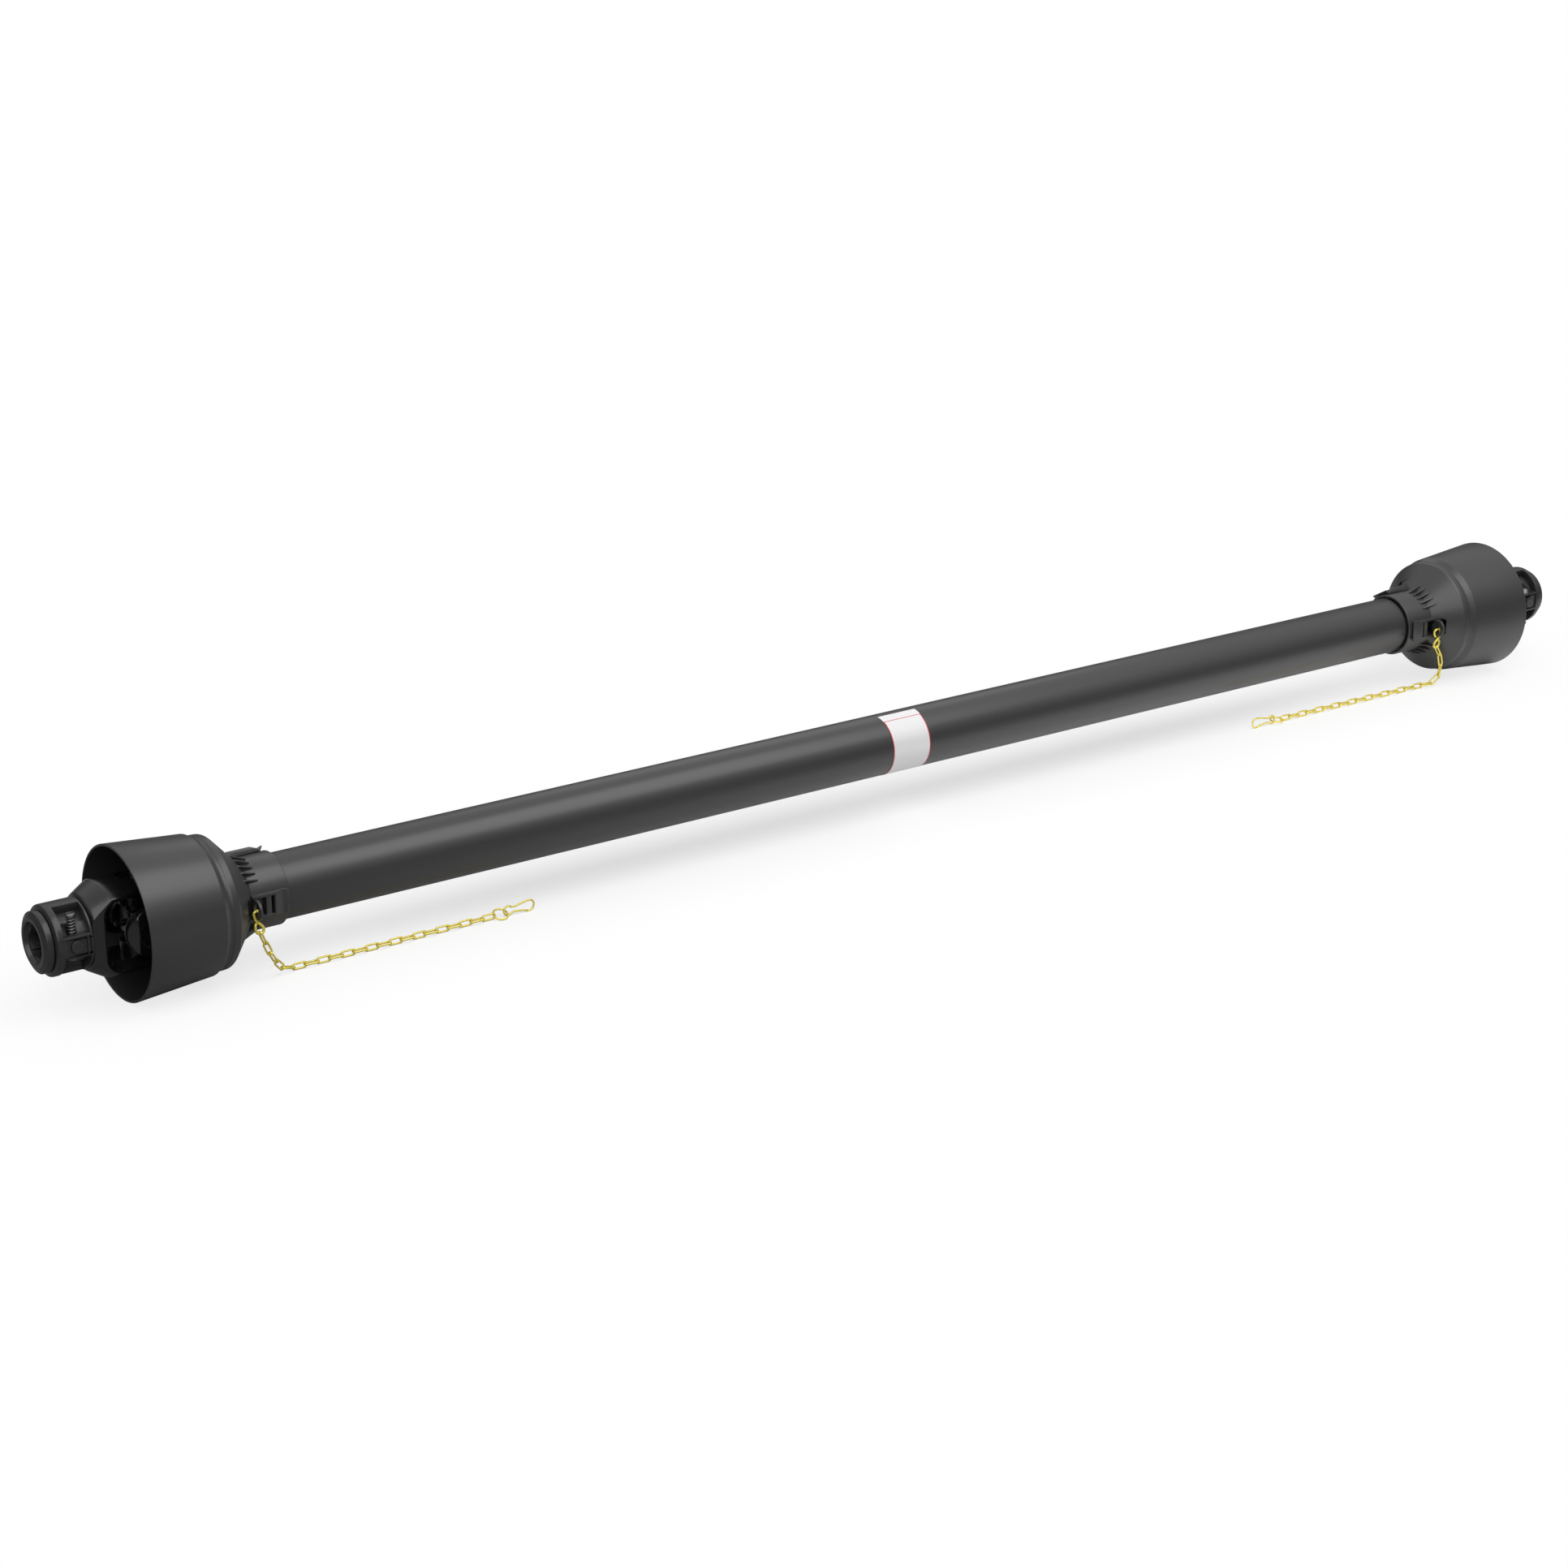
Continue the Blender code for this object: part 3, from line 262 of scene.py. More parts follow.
def lofted(name, sections, axis):
    """A closed piece through flat sections that stand one behind another along an axis."""
    order = "xyz".index(axis)
    lines = []
    for section in sections:
        line = drawn_line(name, section + section[:1])
        bpy.ops.mesh.remove_doubles(threshold=SAME_POINT)
        leave_edit()
        lines.append(line)
    piece = joined(name, lines)
    edit_all(piece)
    places = [section[0][order] for section in sections]
    for here, there in zip(places, places[1:]):
        choose(piece, lambda co: min(abs(co[order] - here), abs(co[order] - there)) < SAME_PLACE)
        bpy.ops.mesh.bridge_edge_loops()
    for end in (places[0], places[-1]):
        choose(piece, lambda co: abs(co[order] - end) < SAME_PLACE)
        bpy.ops.mesh.edge_face_add()
    bpy.ops.mesh.select_all(action="SELECT")
    bpy.ops.mesh.normals_make_consistent(inside=False)
    leave_edit()
    return piece


def block(name, x, y, z):
    """A box between pairs of limits."""
    deselect()
    centre = ((x[0] + x[1]) / 2, (y[0] + y[1]) / 2, (z[0] + z[1]) / 2)
    bpy.ops.mesh.primitive_cube_add(size=1, location=centre)
    piece = bpy.context.object
    piece.name = name
    piece.scale = (x[1] - x[0], y[1] - y[0], z[1] - z[0])
    return settle(piece)


def bar(name, radius, low, high, axis, place=(0, 0, 0), sides=48):
    """A plain round bar along an axis."""
    turns = {"x": (0, math.pi / 2, 0), "y": (math.pi / 2, 0, 0), "z": (0, 0, 0)}
    along = {"x": Vector((1, 0, 0)), "y": Vector((0, 1, 0)), "z": Vector((0, 0, 1))}[axis]
    middle = Vector(place) + along * (low + high) / 2
    deselect()
    bpy.ops.mesh.primitive_cylinder_add(vertices=sides, radius=radius, depth=high - low, location=middle,
                                        rotation=turns[axis])
    piece = bpy.context.object
    piece.name = name
    return settle(piece)


def apply_modifier(piece, kind, **settings):
    pick(piece)
    modifier = piece.modifiers.new(kind.lower(), kind)
    for key, value in settings.items():
        setattr(modifier, key, value)
    bpy.ops.object.modifier_apply(modifier=modifier.name)
    return piece


def shape_with(piece, tool, operation):
    apply_modifier(piece, "BOOLEAN", operation=operation, solver="EXACT", object=tool)
    bpy.data.objects.remove(tool)
    return piece


def cut(piece, *tools):
    for tool in tools:
        shape_with(piece, tool, "DIFFERENCE")
    return piece


def unite(piece, *tools):
    for tool in tools:
        shape_with(piece, tool, "UNION")
    return piece


def eased(piece, width, segments=2, angle=35):
    """Sharp edges rounded."""
    return apply_modifier(piece, "BEVEL", width=width, segments=segments, limit_method="ANGLE",
                          angle_limit=math.radians(angle), harden_normals=False, use_clamp_overlap=True)


def forged(piece, grain, passes):
    """A die forging's soft corners: the shape is remeshed evenly and smoothed."""
    apply_modifier(piece, "REMESH", mode="VOXEL", voxel_size=grain)
    return apply_modifier(piece, "SMOOTH", factor=0.5, iterations=passes)


def copied(piece, name):
    """A copy with its own mesh."""
    pick(piece)
    bpy.ops.object.duplicate(linked=False)
    twin = bpy.context.object
    twin.name = name
    return twin


def joined(name, pieces):
    deselect()
    for piece in pieces:
        piece.select_set(True)
    bpy.context.view_layer.objects.active = pieces[0]
    bpy.ops.object.join()
    pieces[0].name = name
    return pieces[0]


def placed(piece, location, turn=(0, 0, 0)):
    piece.location = location
    piece.rotation_euler = turn
    return settle(piece)


def turned_about_x(piece, angle):
    piece.rotation_euler = (angle, 0, 0)
    return settle(piece)


def wire(name, points, radius, fine, round_steps=3):
    """A bent wire through the points."""
    deselect()
    bpy.ops.curve.primitive_nurbs_path_add()
    curve = bpy.context.object
    curve.name = name
    data = curve.data
    data.splines.remove(data.splines[0])
    spline = data.splines.new("NURBS")
    spline.points.add(len(points) - 1)
    for point, place in zip(spline.points, points):
        point.co = (*place, 1)
    spline.order_u = 3
    spline.use_endpoint_u = True
    data.dimensions = "3D"
    data.resolution_u = fine
    data.bevel_depth = radius
    data.bevel_resolution = round_steps
    data.use_fill_caps = True
    pick(curve)
    bpy.ops.object.convert(target="MESH")
    piece = bpy.context.object
    edit_all(piece)
    bpy.ops.mesh.remove_doubles(threshold=SAME_POINT)
    bpy.ops.mesh.normals_make_consistent(inside=False)
    leave_edit()
    return piece


# Finishes

def shader_group(name, inputs, outputs):
    """A new node group with its start and end nodes."""
    group = bpy.data.node_groups.new(name, "ShaderNodeTree")
    for label, kind, value in inputs:
        socket = group.interface.new_socket(name=label, in_out="INPUT", socket_type=kind)
        socket.default_value = value
    for label, kind in outputs:
        group.interface.new_socket(name=label, in_out="OUTPUT", socket_type=kind)
    return group, group.nodes.new("NodeGroupInput"), group.nodes.new("NodeGroupOutput")


def add_node(tree, kind, inputs=None, **settings):
    """A new node: a socket given as an input is linked to it, and a plain value is set."""
    node = tree.nodes.new(kind)
    for name, value in settings.items():
        setattr(node, name, value)
    for place, value in (inputs or {}).items():
        if isinstance(value, bpy.types.NodeSocket):
            tree.links.new(value, node.inputs[place])
        else:
            node.inputs[place].default_value = value
    return node


def maths(tree, operation, *values):
    """The result of one sum on sockets and numbers."""
    return add_node(tree, "ShaderNodeMath", dict(enumerate(values)), operation=operation).outputs[0]


def mixed_colour(tree, share, first, second):
    mix = add_node(tree, "ShaderNodeMix", data_type="RGBA")
    mix.inputs[6].default_value = (*first, 1)
    mix.inputs[7].default_value = (*second, 1)
    tree.links.new(share, mix.inputs[0])
    return mix.outputs[2]


def mixed_value(tree, share, first, second):
    return add_node(tree, "ShaderNodeMix", {0: share, 2: first, 3: second}).outputs[0]


def faded(tree, value, low, high, first, last):
    """A soft step from the first result at the low value to the last at the high one."""
    return add_node(tree, "ShaderNodeMapRange",
                    {"Value": value, "From Min": low, "From Max": high, "To Min": first, "To Max": last},
                    interpolation_type="SMOOTHSTEP").outputs[0]


def reach_from(tree, centre, stretch):
    """Distance of a floor point from a centre, with each direction stretched by its own factor."""
    place = add_node(tree, "ShaderNodeTexCoord")
    shift = add_node(tree, "ShaderNodeVectorMath", {0: place.outputs["Object"], 1: centre},
                     operation="SUBTRACT")
    scaled = add_node(tree, "ShaderNodeVectorMath", {0: shift.outputs[0], 1: stretch}, operation="MULTIPLY")
    return add_node(tree, "ShaderNodeVectorMath", {0: scaled.outputs[0]}, operation="LENGTH").outputs["Value"]


def camera_ray(tree):
    return add_node(tree, "ShaderNodeLightPath").outputs["Is Camera Ray"]


def new_material(name):
    """A new material with its node tree and its shader."""
    material = bpy.data.materials.new(name)
    material.use_nodes = True
    return material, material.node_tree, material.node_tree.nodes["Principled BSDF"]


def fine_grain_group():
    """Speckle for mottled colour and roughness, with a matching bump."""
    group, start, end = shader_group(
        "fine grain", [("Scale", "NodeSocketFloat", 400), ("Spread", "NodeSocketFloat", 0.1),
                       ("Relief", "NodeSocketFloat", 0.1)],
        [("Share", "NodeSocketFloat"), ("Normal", "NodeSocketVector")])
    place = add_node(group, "ShaderNodeTexCoord")
    noise = add_node(group, "ShaderNodeTexNoise",
                     {"Vector": place.outputs["Object"], "Scale": start.outputs["Scale"], "Detail": 6})
    bump = add_node(group, "ShaderNodeBump", {"Distance": 0.0004, "Strength": start.outputs["Relief"],
                                              "Height": noise.outputs["Fac"]})
    share = maths(group, "MULTIPLY", noise.outputs["Fac"], start.outputs["Spread"])
    group.links.new(share, end.inputs["Share"])
    group.links.new(bump.outputs["Normal"], end.inputs["Normal"])
    return group


FINE_GRAIN = fine_grain_group()


def finish_material(name, dark, light, roughness, spread, metallic=0.0, scale=400, relief=0.1, coat=0.0,
                    shine=0.5):
    """Two close tones mottled by fine grain, with roughness that varies the same way."""
    material, tree, shader = new_material(name)
    shader.inputs["Metallic"].default_value = metallic
    shader.inputs["Coat Weight"].default_value = coat
    shader.inputs["Specular IOR Level"].default_value = shine
    shader.inputs["Coat Roughness"].default_value = 0.12
    grain = add_node(tree, "ShaderNodeGroup", node_tree=FINE_GRAIN)
    for label, value in (("Scale", scale), ("Spread", 1.0), ("Relief", relief)):
        grain.inputs[label].default_value = value
    share = grain.outputs["Share"]
    tree.links.new(mixed_colour(tree, share, dark, light), shader.inputs["Base Color"])
    tree.links.new(maths(tree, "MULTIPLY_ADD", share, spread, roughness), shader.inputs["Roughness"])
    tree.links.new(grain.outputs["Normal"], shader.inputs["Normal"])
    return material


BLACK_PAINT = finish_material("black_gloss_paint", (0.004, 0.004, 0.0042), (0.010, 0.010, 0.0105),
                              0.15, 0.12, scale=180, relief=0.14, coat=0.6)
COLLAR_BLACK = finish_material("black_collar_moulding", (0.014, 0.014, 0.0145), (0.032, 0.032, 0.033),
                               0.26, 0.16, scale=420, relief=0.12, coat=0.3)
SHIELD_GREY = finish_material("shield_polyethylene", (0.030, 0.030, 0.031), (0.038, 0.038, 0.039),
                              0.27, 0.10, scale=700, relief=0.03, shine=0.8)
PIN_STEEL = finish_material("oiled_pin_steel", (0.16, 0.16, 0.16), (0.30, 0.30, 0.29),
                            0.28, 0.2, metallic=1.0, scale=500, relief=0.06)
JOINT_STEEL = finish_material("blackened_joint_steel", (0.007, 0.007, 0.007), (0.022, 0.022, 0.022),
                              0.20, 0.2, metallic=0.5, scale=320, relief=0.08, coat=0.2)
TUBE_STEEL = finish_material("drawn_tube_steel", (0.07, 0.07, 0.07), (0.13, 0.13, 0.13),
                             0.32, 0.2, metallic=0.8, scale=260, relief=0.08)
NYLON = finish_material("bearing_nylon", (0.020, 0.020, 0.020), (0.030, 0.030, 0.030),
                        0.42, 0.1, scale=500, relief=0.03)
YELLOW_ZINC = finish_material("yellow_zinc_plate", (0.92, 0.86, 0.14), (1.00, 0.76, 0.18),
                              0.20, 0.14, metallic=0.55, scale=210, relief=0.04)


def label_material():
    """White film with thin red lines down both sides and across near the top."""
    material, tree, shader = new_material("white_label_film")
    shader.inputs["Roughness"].default_value = 0.35
    header = 0.90
    place = add_node(tree, "ShaderNodeTexCoord")
    split = add_node(tree, "ShaderNodeSeparateXYZ", {0: place.outputs["UV"]})
    aside = maths(tree, "ABSOLUTE", maths(tree, "SUBTRACT", split.outputs["X"], 0.5))
    at_side = maths(tree, "GREATER_THAN", aside, 0.478)
    below_header = maths(tree, "LESS_THAN", split.outputs["Y"], header)
    sides = maths(tree, "MULTIPLY", at_side, below_header)
    across = maths(tree, "COMPARE", split.outputs["Y"], header, 0.004)
    lines = maths(tree, "MAXIMUM", sides, across)
    tone = mixed_colour(tree, lines, (0.80, 0.79, 0.80), (0.62, 0.06, 0.06))
    tree.links.new(tone, shader.inputs["Base Color"])
    return material


LABEL_FILM = label_material()


def dressed(piece, material, body, nodes, smooth=35):
    """Finish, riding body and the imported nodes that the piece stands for."""
    piece.data.materials.clear()
    piece.data.materials.append(material)
    pick(piece)
    bpy.ops.object.shade_smooth_by_angle(angle=math.radians(smooth))
    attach(piece, body)
    if nodes:
        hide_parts(*nodes)
    return piece


def at_both_ends(piece, material, body, nodes, smooth=35):
    """The piece at the near end, and a copy turned half a turn about Y at the far end."""
    name = piece.name
    far = placed(copied(piece, name + "_b"), FAR_CENTRE, (0, math.pi, 0))
    piece.name = name + "_a"
    placed(piece, NEAR_CENTRE)
    for item, tag, end in ((piece, "a", "near"), (far, "b", "far")):
        dressed(item, material, f"{end}_{body}", [f"{node}_{tag}" for node in nodes], smooth)
    return piece, far


# End yoke

def fork_blank(base, reach, half_width, tip, hub_radius, flare):
    """Forged fork before its inside is cut: turned shoulders within flat flanks and round ear tips."""
    shoulder = [(base, 0, 0), (base, hub_radius, 0.0010), (base + 0.0018, hub_radius + 0.0032, 0.002),
                (base + flare, reach - 0.0001, 0.002), (base + flare + 0.0042, reach + 0.0024, 0.003),
                (-0.0180, reach + 0.0046, 0.02), (tip - 0.0085, reach + 0.0010, 0.004),
                (tip + 0.0005, reach - 0.0115, 0.004), (tip + 0.0005, 0, 0)]
    blank = turned("fork", rounded(shoulder, 0.002, 5))
    crown = 0.055
    spread = [half_width * (i / 12 - 1) for i in range(25)]
    top = [(y, reach - crown + math.sqrt(crown ** 2 - y ** 2)) for y in spread]
    section = top + [(-y, -z) for y, z in top]
    shape_with(blank, slab("section", section, "x", base - 0.01, tip + 0.01), "INTERSECT")
    arc = [(tip * math.cos(a), tip * math.sin(a)) for a in (math.pi * (i / 24 - 0.5) for i in range(25))]
    flank = [(-0.0060, tip + 0.0012), (base * 0.55, half_width * 1.02), (base - 0.01, hub_radius + 0.012)]
    plan = arc + flank + [(x, -y) for x, y in reversed(flank)]
    return shape_with(blank, slab("plan", plan, "z", -reach - 0.02, reach + 0.02), "INTERSECT")


def fork_inside(depth, inside, half_width, flare_depth, flare_height):
    """Cutter for the inside of a fork: a round-cornered U that widens towards both flanks."""
    open_end = 0.06
    half = [(half_width + 0.004, flare_depth, flare_height),
            (half_width - 0.0035, flare_depth * 0.45, flare_height * 0.42), (half_width * 0.60, 0, 0)]
    stations = [(-y, deeper, wider) for y, deeper, wider in half] + half[::-1]
    sections = []
    for y, deeper, wider in stations:
        floor_x = -(depth + deeper)
        height = inside + wider
        corners = [(open_end, -height, 0), (floor_x, -height), (floor_x, height), (open_end, height, 0)]
        outline = rounded(corners, 0.015, 8)
        sections.append([(x, y, z) for x, z in outline])
    return lofted("inside", sections, "y")


def spline_outline():
    """Bore with six grooves: outer arcs between inner ones."""
    tip_half = math.asin(TOOTH_GAP / 2 / BORE_MAJOR)
    root_half = math.asin(TOOTH_GAP / 2 / BORE_MINOR)
    pitch = math.pi / 3
    outline = []
    for tooth in range(6):
        start = tooth * pitch
        outline.append((start - root_half, BORE_MINOR))
        outline += [(start - tip_half + 2 * tip_half * step / 6, BORE_MAJOR) for step in range(7)]
        outline += [(start + root_half + (pitch - 2 * root_half) * step / 3, BORE_MINOR) for step in range(3)]
    return [(radius * math.cos(angle), radius * math.sin(angle)) for angle, radius in outline]


def end_yoke():
    fork = fork_blank(base=COLLAR_BACK + 0.0003, reach=0.0465, half_width=0.0310, tip=0.0250,
                      hub_radius=0.0340, flare=0.0175)
    cut(fork, fork_inside(depth=0.0400, inside=0.0290, half_width=0.0310, flare_depth=0.0030,
                          flare_height=0.0105))
    forged(fork, grain=0.00085, passes=7)
    cut(fork, bar("bore", EAR_BORE, -0.08, 0.08, "z", sides=64))
    at_both_ends(fork, BLACK_PAINT, "end_yoke", ["end_yoke"], 50)


def yoke_hub():
    """Bevelled nose ring, groove and hub with the splined bore and the lock pin's passage."""
    back = -0.0400
    blind = 0.0120
    recess = NOSE + 0.0040
    outline = [(NOSE, 0.0205, 0.0004), (NOSE, 0.0243, 0.0006), (NOSE + 0.0028, 0.0298, 0.0012),
               (NOSE + 0.0088, 0.0298, 0.0006), (NOSE + 0.0093, HUB_RADIUS, 0.0003), (back, HUB_RADIUS, 0),
               (back, blind, 0), (recess, blind, 0), (recess, 0.0190, 0.0005)]
    hub = turned("yoke_hub", rounded(outline, 0.0005))
    cut(hub, slab("splines", spline_outline(), "x", NOSE - 0.01, -0.02))
    on_axis = (PIN_X, PIN_Y, 0)
    cut(hub, bar("guide", 0.0068, -0.05, 0.0069, "z", on_axis, 32),
        bar("stem", PIN_STEM_RADIUS + 0.0003, 0, 0.05, "z", on_axis, 24),
        bar("pocket", 0.0053, LUG_HALF, 0.05, "z", on_axis, 32))
    eased(hub, 0.0003, 2, 50)
    at_both_ends(hub, COLLAR_BLACK, "end_yoke", [])


def lock_collar():
    """The cage round the hub, with its windows, and the boss and rib in its side pocket."""
    front = COLLAR_FRONT
    inner = HUB_RADIUS + 0.0003
    profile = [(front, inner, 0.0004), (front, 0.0305, 0.0012), (front + 0.0014, 0.0342, 0.0012),
               (front + 0.0030, COLLAR_RADIUS, 0.002), (COLLAR_BACK, COLLAR_RADIUS, 0.0009),
               (COLLAR_BACK, inner, 0.0004)]
    collar = turned("lock_collar", rounded(profile, 0.0006))
    reach = COLLAR_RADIUS + 0.01
    top = math.radians(78)
    root = inner - 0.004
    window = [(-root, LUG_HALF), (-reach, LUG_HALF), (-reach, reach * math.sin(top)),
              (-reach * math.cos(top), reach * math.sin(top)), (-root * math.cos(top), root * math.sin(top))]
    for sign in (1, -1):
        cut(collar, slab("window", [(y, sign * z) for y, z in window], "x", WINDOW_FRONT, WINDOW_BACK))
    rim = 0.0020
    pocket = LUG_HALF - rim
    face = 0.0024 - COLLAR_RADIUS
    cut(collar, block("pocket", (WINDOW_FRONT + rim, WINDOW_BACK), (-reach, face), (-pocket, pocket)))
    eased(collar, 0.0006, 3, 40)
    at_both_ends(collar, COLLAR_BLACK, "end_yoke", ["lock_collar"])
    proud = face - 0.0018
    seated = face + 0.0008
    section = [(proud, 0), (proud, 0.0062), (seated, 0.0066), (seated, 0)]
    boss = turned("collar_boss", rounded(section, 0.0006, 3), 48)
    placed(boss, (NOSE + 0.0300, 0, 0), (0, 0, math.pi / 2))
    at_both_ends(boss, COLLAR_BLACK, "end_yoke", [])
    rib = block("collar_rib", (NOSE + 0.0396, NOSE + 0.0414), (face - 0.0017, seated), (-pocket, pocket))
    eased(rib, 0.0004)
    at_both_ends(rib, COLLAR_BLACK, "end_yoke", [])


def lock_pins():
    profile = [(-0.0155, 0, 0), (-0.0155, 0.0034, 0.0008), (-0.0105, 0.0065, 0.0008),
               (0.0066, 0.0065, 0.0006), (0.0066, PIN_STEM_RADIUS, 0), (0.0270, PIN_STEM_RADIUS, 0),
               (0.0270, 0.0048, 0.0005), (0.0306, 0.0048, 0.0012), (0.0306, 0, 0)]
    pin = turned("lock_pin", rounded(profile, 0.0005, 3), 48)
    placed(pin, (PIN_X, PIN_Y, 0), (0, -math.pi / 2, 0))
    cut(pin, block("slot", (PIN_X - 0.006, PIN_X + 0.006), (PIN_Y - 0.0007, PIN_Y + 0.0007), (0.0292, 0.033)))
    at_both_ends(pin, PIN_STEEL, "lock_pin", ["lock_pin"])


def lock_springs():
    """Coil springs whose first and last turns lie closed."""
    low = LUG_HALF + 0.0011
    steps = 12
    total = int(SPRING_TURNS * steps)
    closed = 0.06
    coil = []
    for step in range(total + 1):
        angle = 2 * math.pi * step / steps
        climb = min(max((step / total - closed) / (1 - 2 * closed), 0), 1)
        coil.append((PIN_X + SPRING_RADIUS * math.cos(angle), PIN_Y + SPRING_RADIUS * math.sin(angle),
                     low + (SPRING_HIGH - low) * climb))
    spring = wire("lock_spring", coil, SPRING_WIRE, fine=3)
    at_both_ends(spring, PIN_STEEL, "end_yoke", ["lock_spring"], 60)


# Universal joint

def joint_cross():
    middle = block("joint_cross", (-0.0100, 0.0100), (-0.0130, 0.0130), (-0.0130, 0.0130))
    eased(middle, 0.0034, 3, 30)
    for axis in ("y", "z"):
        unite(middle, bar("journal", JOURNAL_RADIUS, -JOURNAL_REACH, JOURNAL_REACH, axis))
    eased(middle, 0.0004, 2, 50)
    at_both_ends(middle, JOINT_STEEL, "cross", ["cross"])
    nipple = [(0, 0, 0), (0, 0.0034, 0), (0.0032, 0.0034), (0.0040, 0.0020), (0.0056, 0.0018),
              (0.0064, 0.0026), (0.0084, 0.0026), (0.0096, 0.0014), (0.0096, 0, 0)]
    fitting = turned("grease_nipple", rounded(nipple, 0.0004, 3), 24)
    placed(fitting, (-0.0103, 0, 0), (0, 0, math.pi))
    at_both_ends(fitting, JOINT_STEEL, "cross", ["grease_nipple"])


def bearing_cups():
    """The four cups of each joint, each with the open ring that holds it in its ear."""
    floor_x = CUP_TOP - CUP_FLOOR
    profile = [(CUP_FOOT, CUP_BORE, 0.0003), (CUP_FOOT, CUP_RADIUS, 0.0010), (CUP_TOP, CUP_RADIUS, 0.0012),
               (CUP_TOP, 0, 0), (floor_x, 0, 0), (floor_x, CUP_BORE, 0.0003)]
    clip_end = CLIP_START + CLIP_THICKNESS
    clip_inner = CLIP_RADIUS - CLIP_WIDTH
    clip_section = [(CLIP_START, clip_inner), (CLIP_START, CLIP_RADIUS), (clip_end, CLIP_RADIUS),
                    (clip_end, clip_inner)]
    mouth = [(0, 0), (0.03, -0.0090), (0.03, 0.0090)]
    right = math.pi / 2
    for side, turn, body in (("top", (0, -right, 0), "end_yoke"), ("bottom", (0, right, 0), "end_yoke"),
                             ("left", (0, 0, -right), "shaft"), ("right", (0, 0, right), "shaft")):
        cup = turned(f"bearing_cup_{side}", rounded(profile, 0.0004, 3), 64)
        placed(cup, (0, 0, 0), turn)
        at_both_ends(cup, JOINT_STEEL, body, [f"bearing_cup_{side}"])
        clip = turned(f"circlip_{side}", clip_section, 64)
        cut(clip, slab("mouth", mouth, "x", CLIP_START - 0.0021, CLIP_START + 0.0042))
        placed(clip, (0, 0, 0), turn)
        at_both_ends(clip, PIN_STEEL, body, [f"circlip_{side}"])


def inner_yoke():
    """The fork on the shaft, a quarter turn from the end yoke's, and its hub with the shield's groove."""
    fork = fork_blank(base=-0.0620, reach=0.0445, half_width=0.0290, tip=0.0240,
                      hub_radius=0.0350, flare=0.0150)
    cut(fork, fork_inside(depth=0.0460, inside=0.0290, half_width=0.0290, flare_depth=0.0030,
                          flare_height=0.0105))
    forged(fork, grain=0.0010, passes=3)
    cut(fork, bar("bore", EAR_BORE, -0.08, 0.08, "z"))
    fork.name = "inner_yoke"
    placed(fork, (0, 0, 0), (math.pi / 2, 0, 0))
    placed(fork, (0, 0, 0), (0, 0, math.pi))
    at_both_ends(fork, BLACK_PAINT, "shaft", ["inner_yoke"], 50)
    groove = 0.0268
    inside = 0.0270
    outline = [(0.0560, 0.0150, 0), (0.0560, 0.0300, 0), (0.0917, 0.0300), (0.0917, groove), (0.1013, groove),
               (0.1013, 0.0290), (0.1040, 0.0290), (0.1040, inside), (0.0680, inside, 0), (0.0680, 0.0150, 0)]
    hub = turned("inner_hub", rounded(outline, 0.0005, 3), 72)
    at_both_ends(hub, BLACK_PAINT, "shaft", [])


# Guard cones and tubes

def rim_profile(bore):
    """Closed outline of the shield cone's wall."""
    outside = [(RIM_X, RIM_RADIUS, 0.0009), (0.020, 0.07286, 0.2), (0.044, 0.07073, 0.2),
               (BELL_END_X - 0.0006, 0.06925, 0.0016), (BELL_END_X + 0.0052, 0.0654, 0.0008),
               (BELL_END_X + 0.0076, 0.0654, 0.0008), (BELL_END_X + 0.0092, BAND_RADIUS + 0.0003, 0.0012),
               (0.0778, BAND_RADIUS, 0.0042), (FOOT_X + 0.0004, NECK_RADIUS, 0.0012),
               (NECK_END_X, NECK_RADIUS, 0.0010)]
    inside = [(NECK_END_X, bore, 0.0004), (0.1013, bore, 0.0004), (0.1013, 0.0381, 0.0004),
              (0.0885, 0.0381, 0.0006), (0.0885, 0.0403, 0.0006), (0.0958, 0.0403, 0.001),
              (0.0768, 0.0625, 0.004),
              (BELL_END_X + 0.0040, 0.0628, 0.001), (BELL_END_X - 0.0030, 0.0668, 0.002),
              (RIM_X, RIM_RADIUS - WALL, 0.0007)]
    return rounded(outside + inside, 0.0006, 4)


def cone_ports():
    """Cutters for the round-cornered openings of the funnel, in front of each latch."""
    corners = [(-0.0486, -0.0102), (-0.0392, -0.0102), (-0.0392, 0.0102), (-0.0486, 0.0102)]
    outline = rounded(corners, 0.0040, 6)
    return [turned_about_x(slab("port", outline, "x", 0.0800, 0.0990), angle) for angle in THIRDS]


def cone_fins():
    """Three groups of five thin gussets between the funnel and the neck."""
    outline = rounded([(FOOT_X - 0.0008, 0.0358, 0), (0.0953, 0.0448, 0.0006), (0.1000, 0.0438, 0.004),
                       (0.1185, 0.0362, 0.001)], 0.0006, 3)
    flat = [(x, -radius) for x, radius in outline]
    made = []
    for group in range(3):
        for place in range(5):
            angle = 2 * math.pi * (group + 0.5) / 3 + FIN_STEP * (place - 2)
            fin = slab("fin", flat, "z", -FIN_HALF, FIN_HALF)
            eased(fin, 0.0003, 2)
            made.append(turned_about_x(fin, -angle))
    return joined("cone_fins", made)


def latch_pocket():
    """Cutter for the opening through a latch and the neck under it."""
    return block("pocket", (0.1000, 0.1255), (-0.06, -0.0300), (-0.0092, 0.0092))


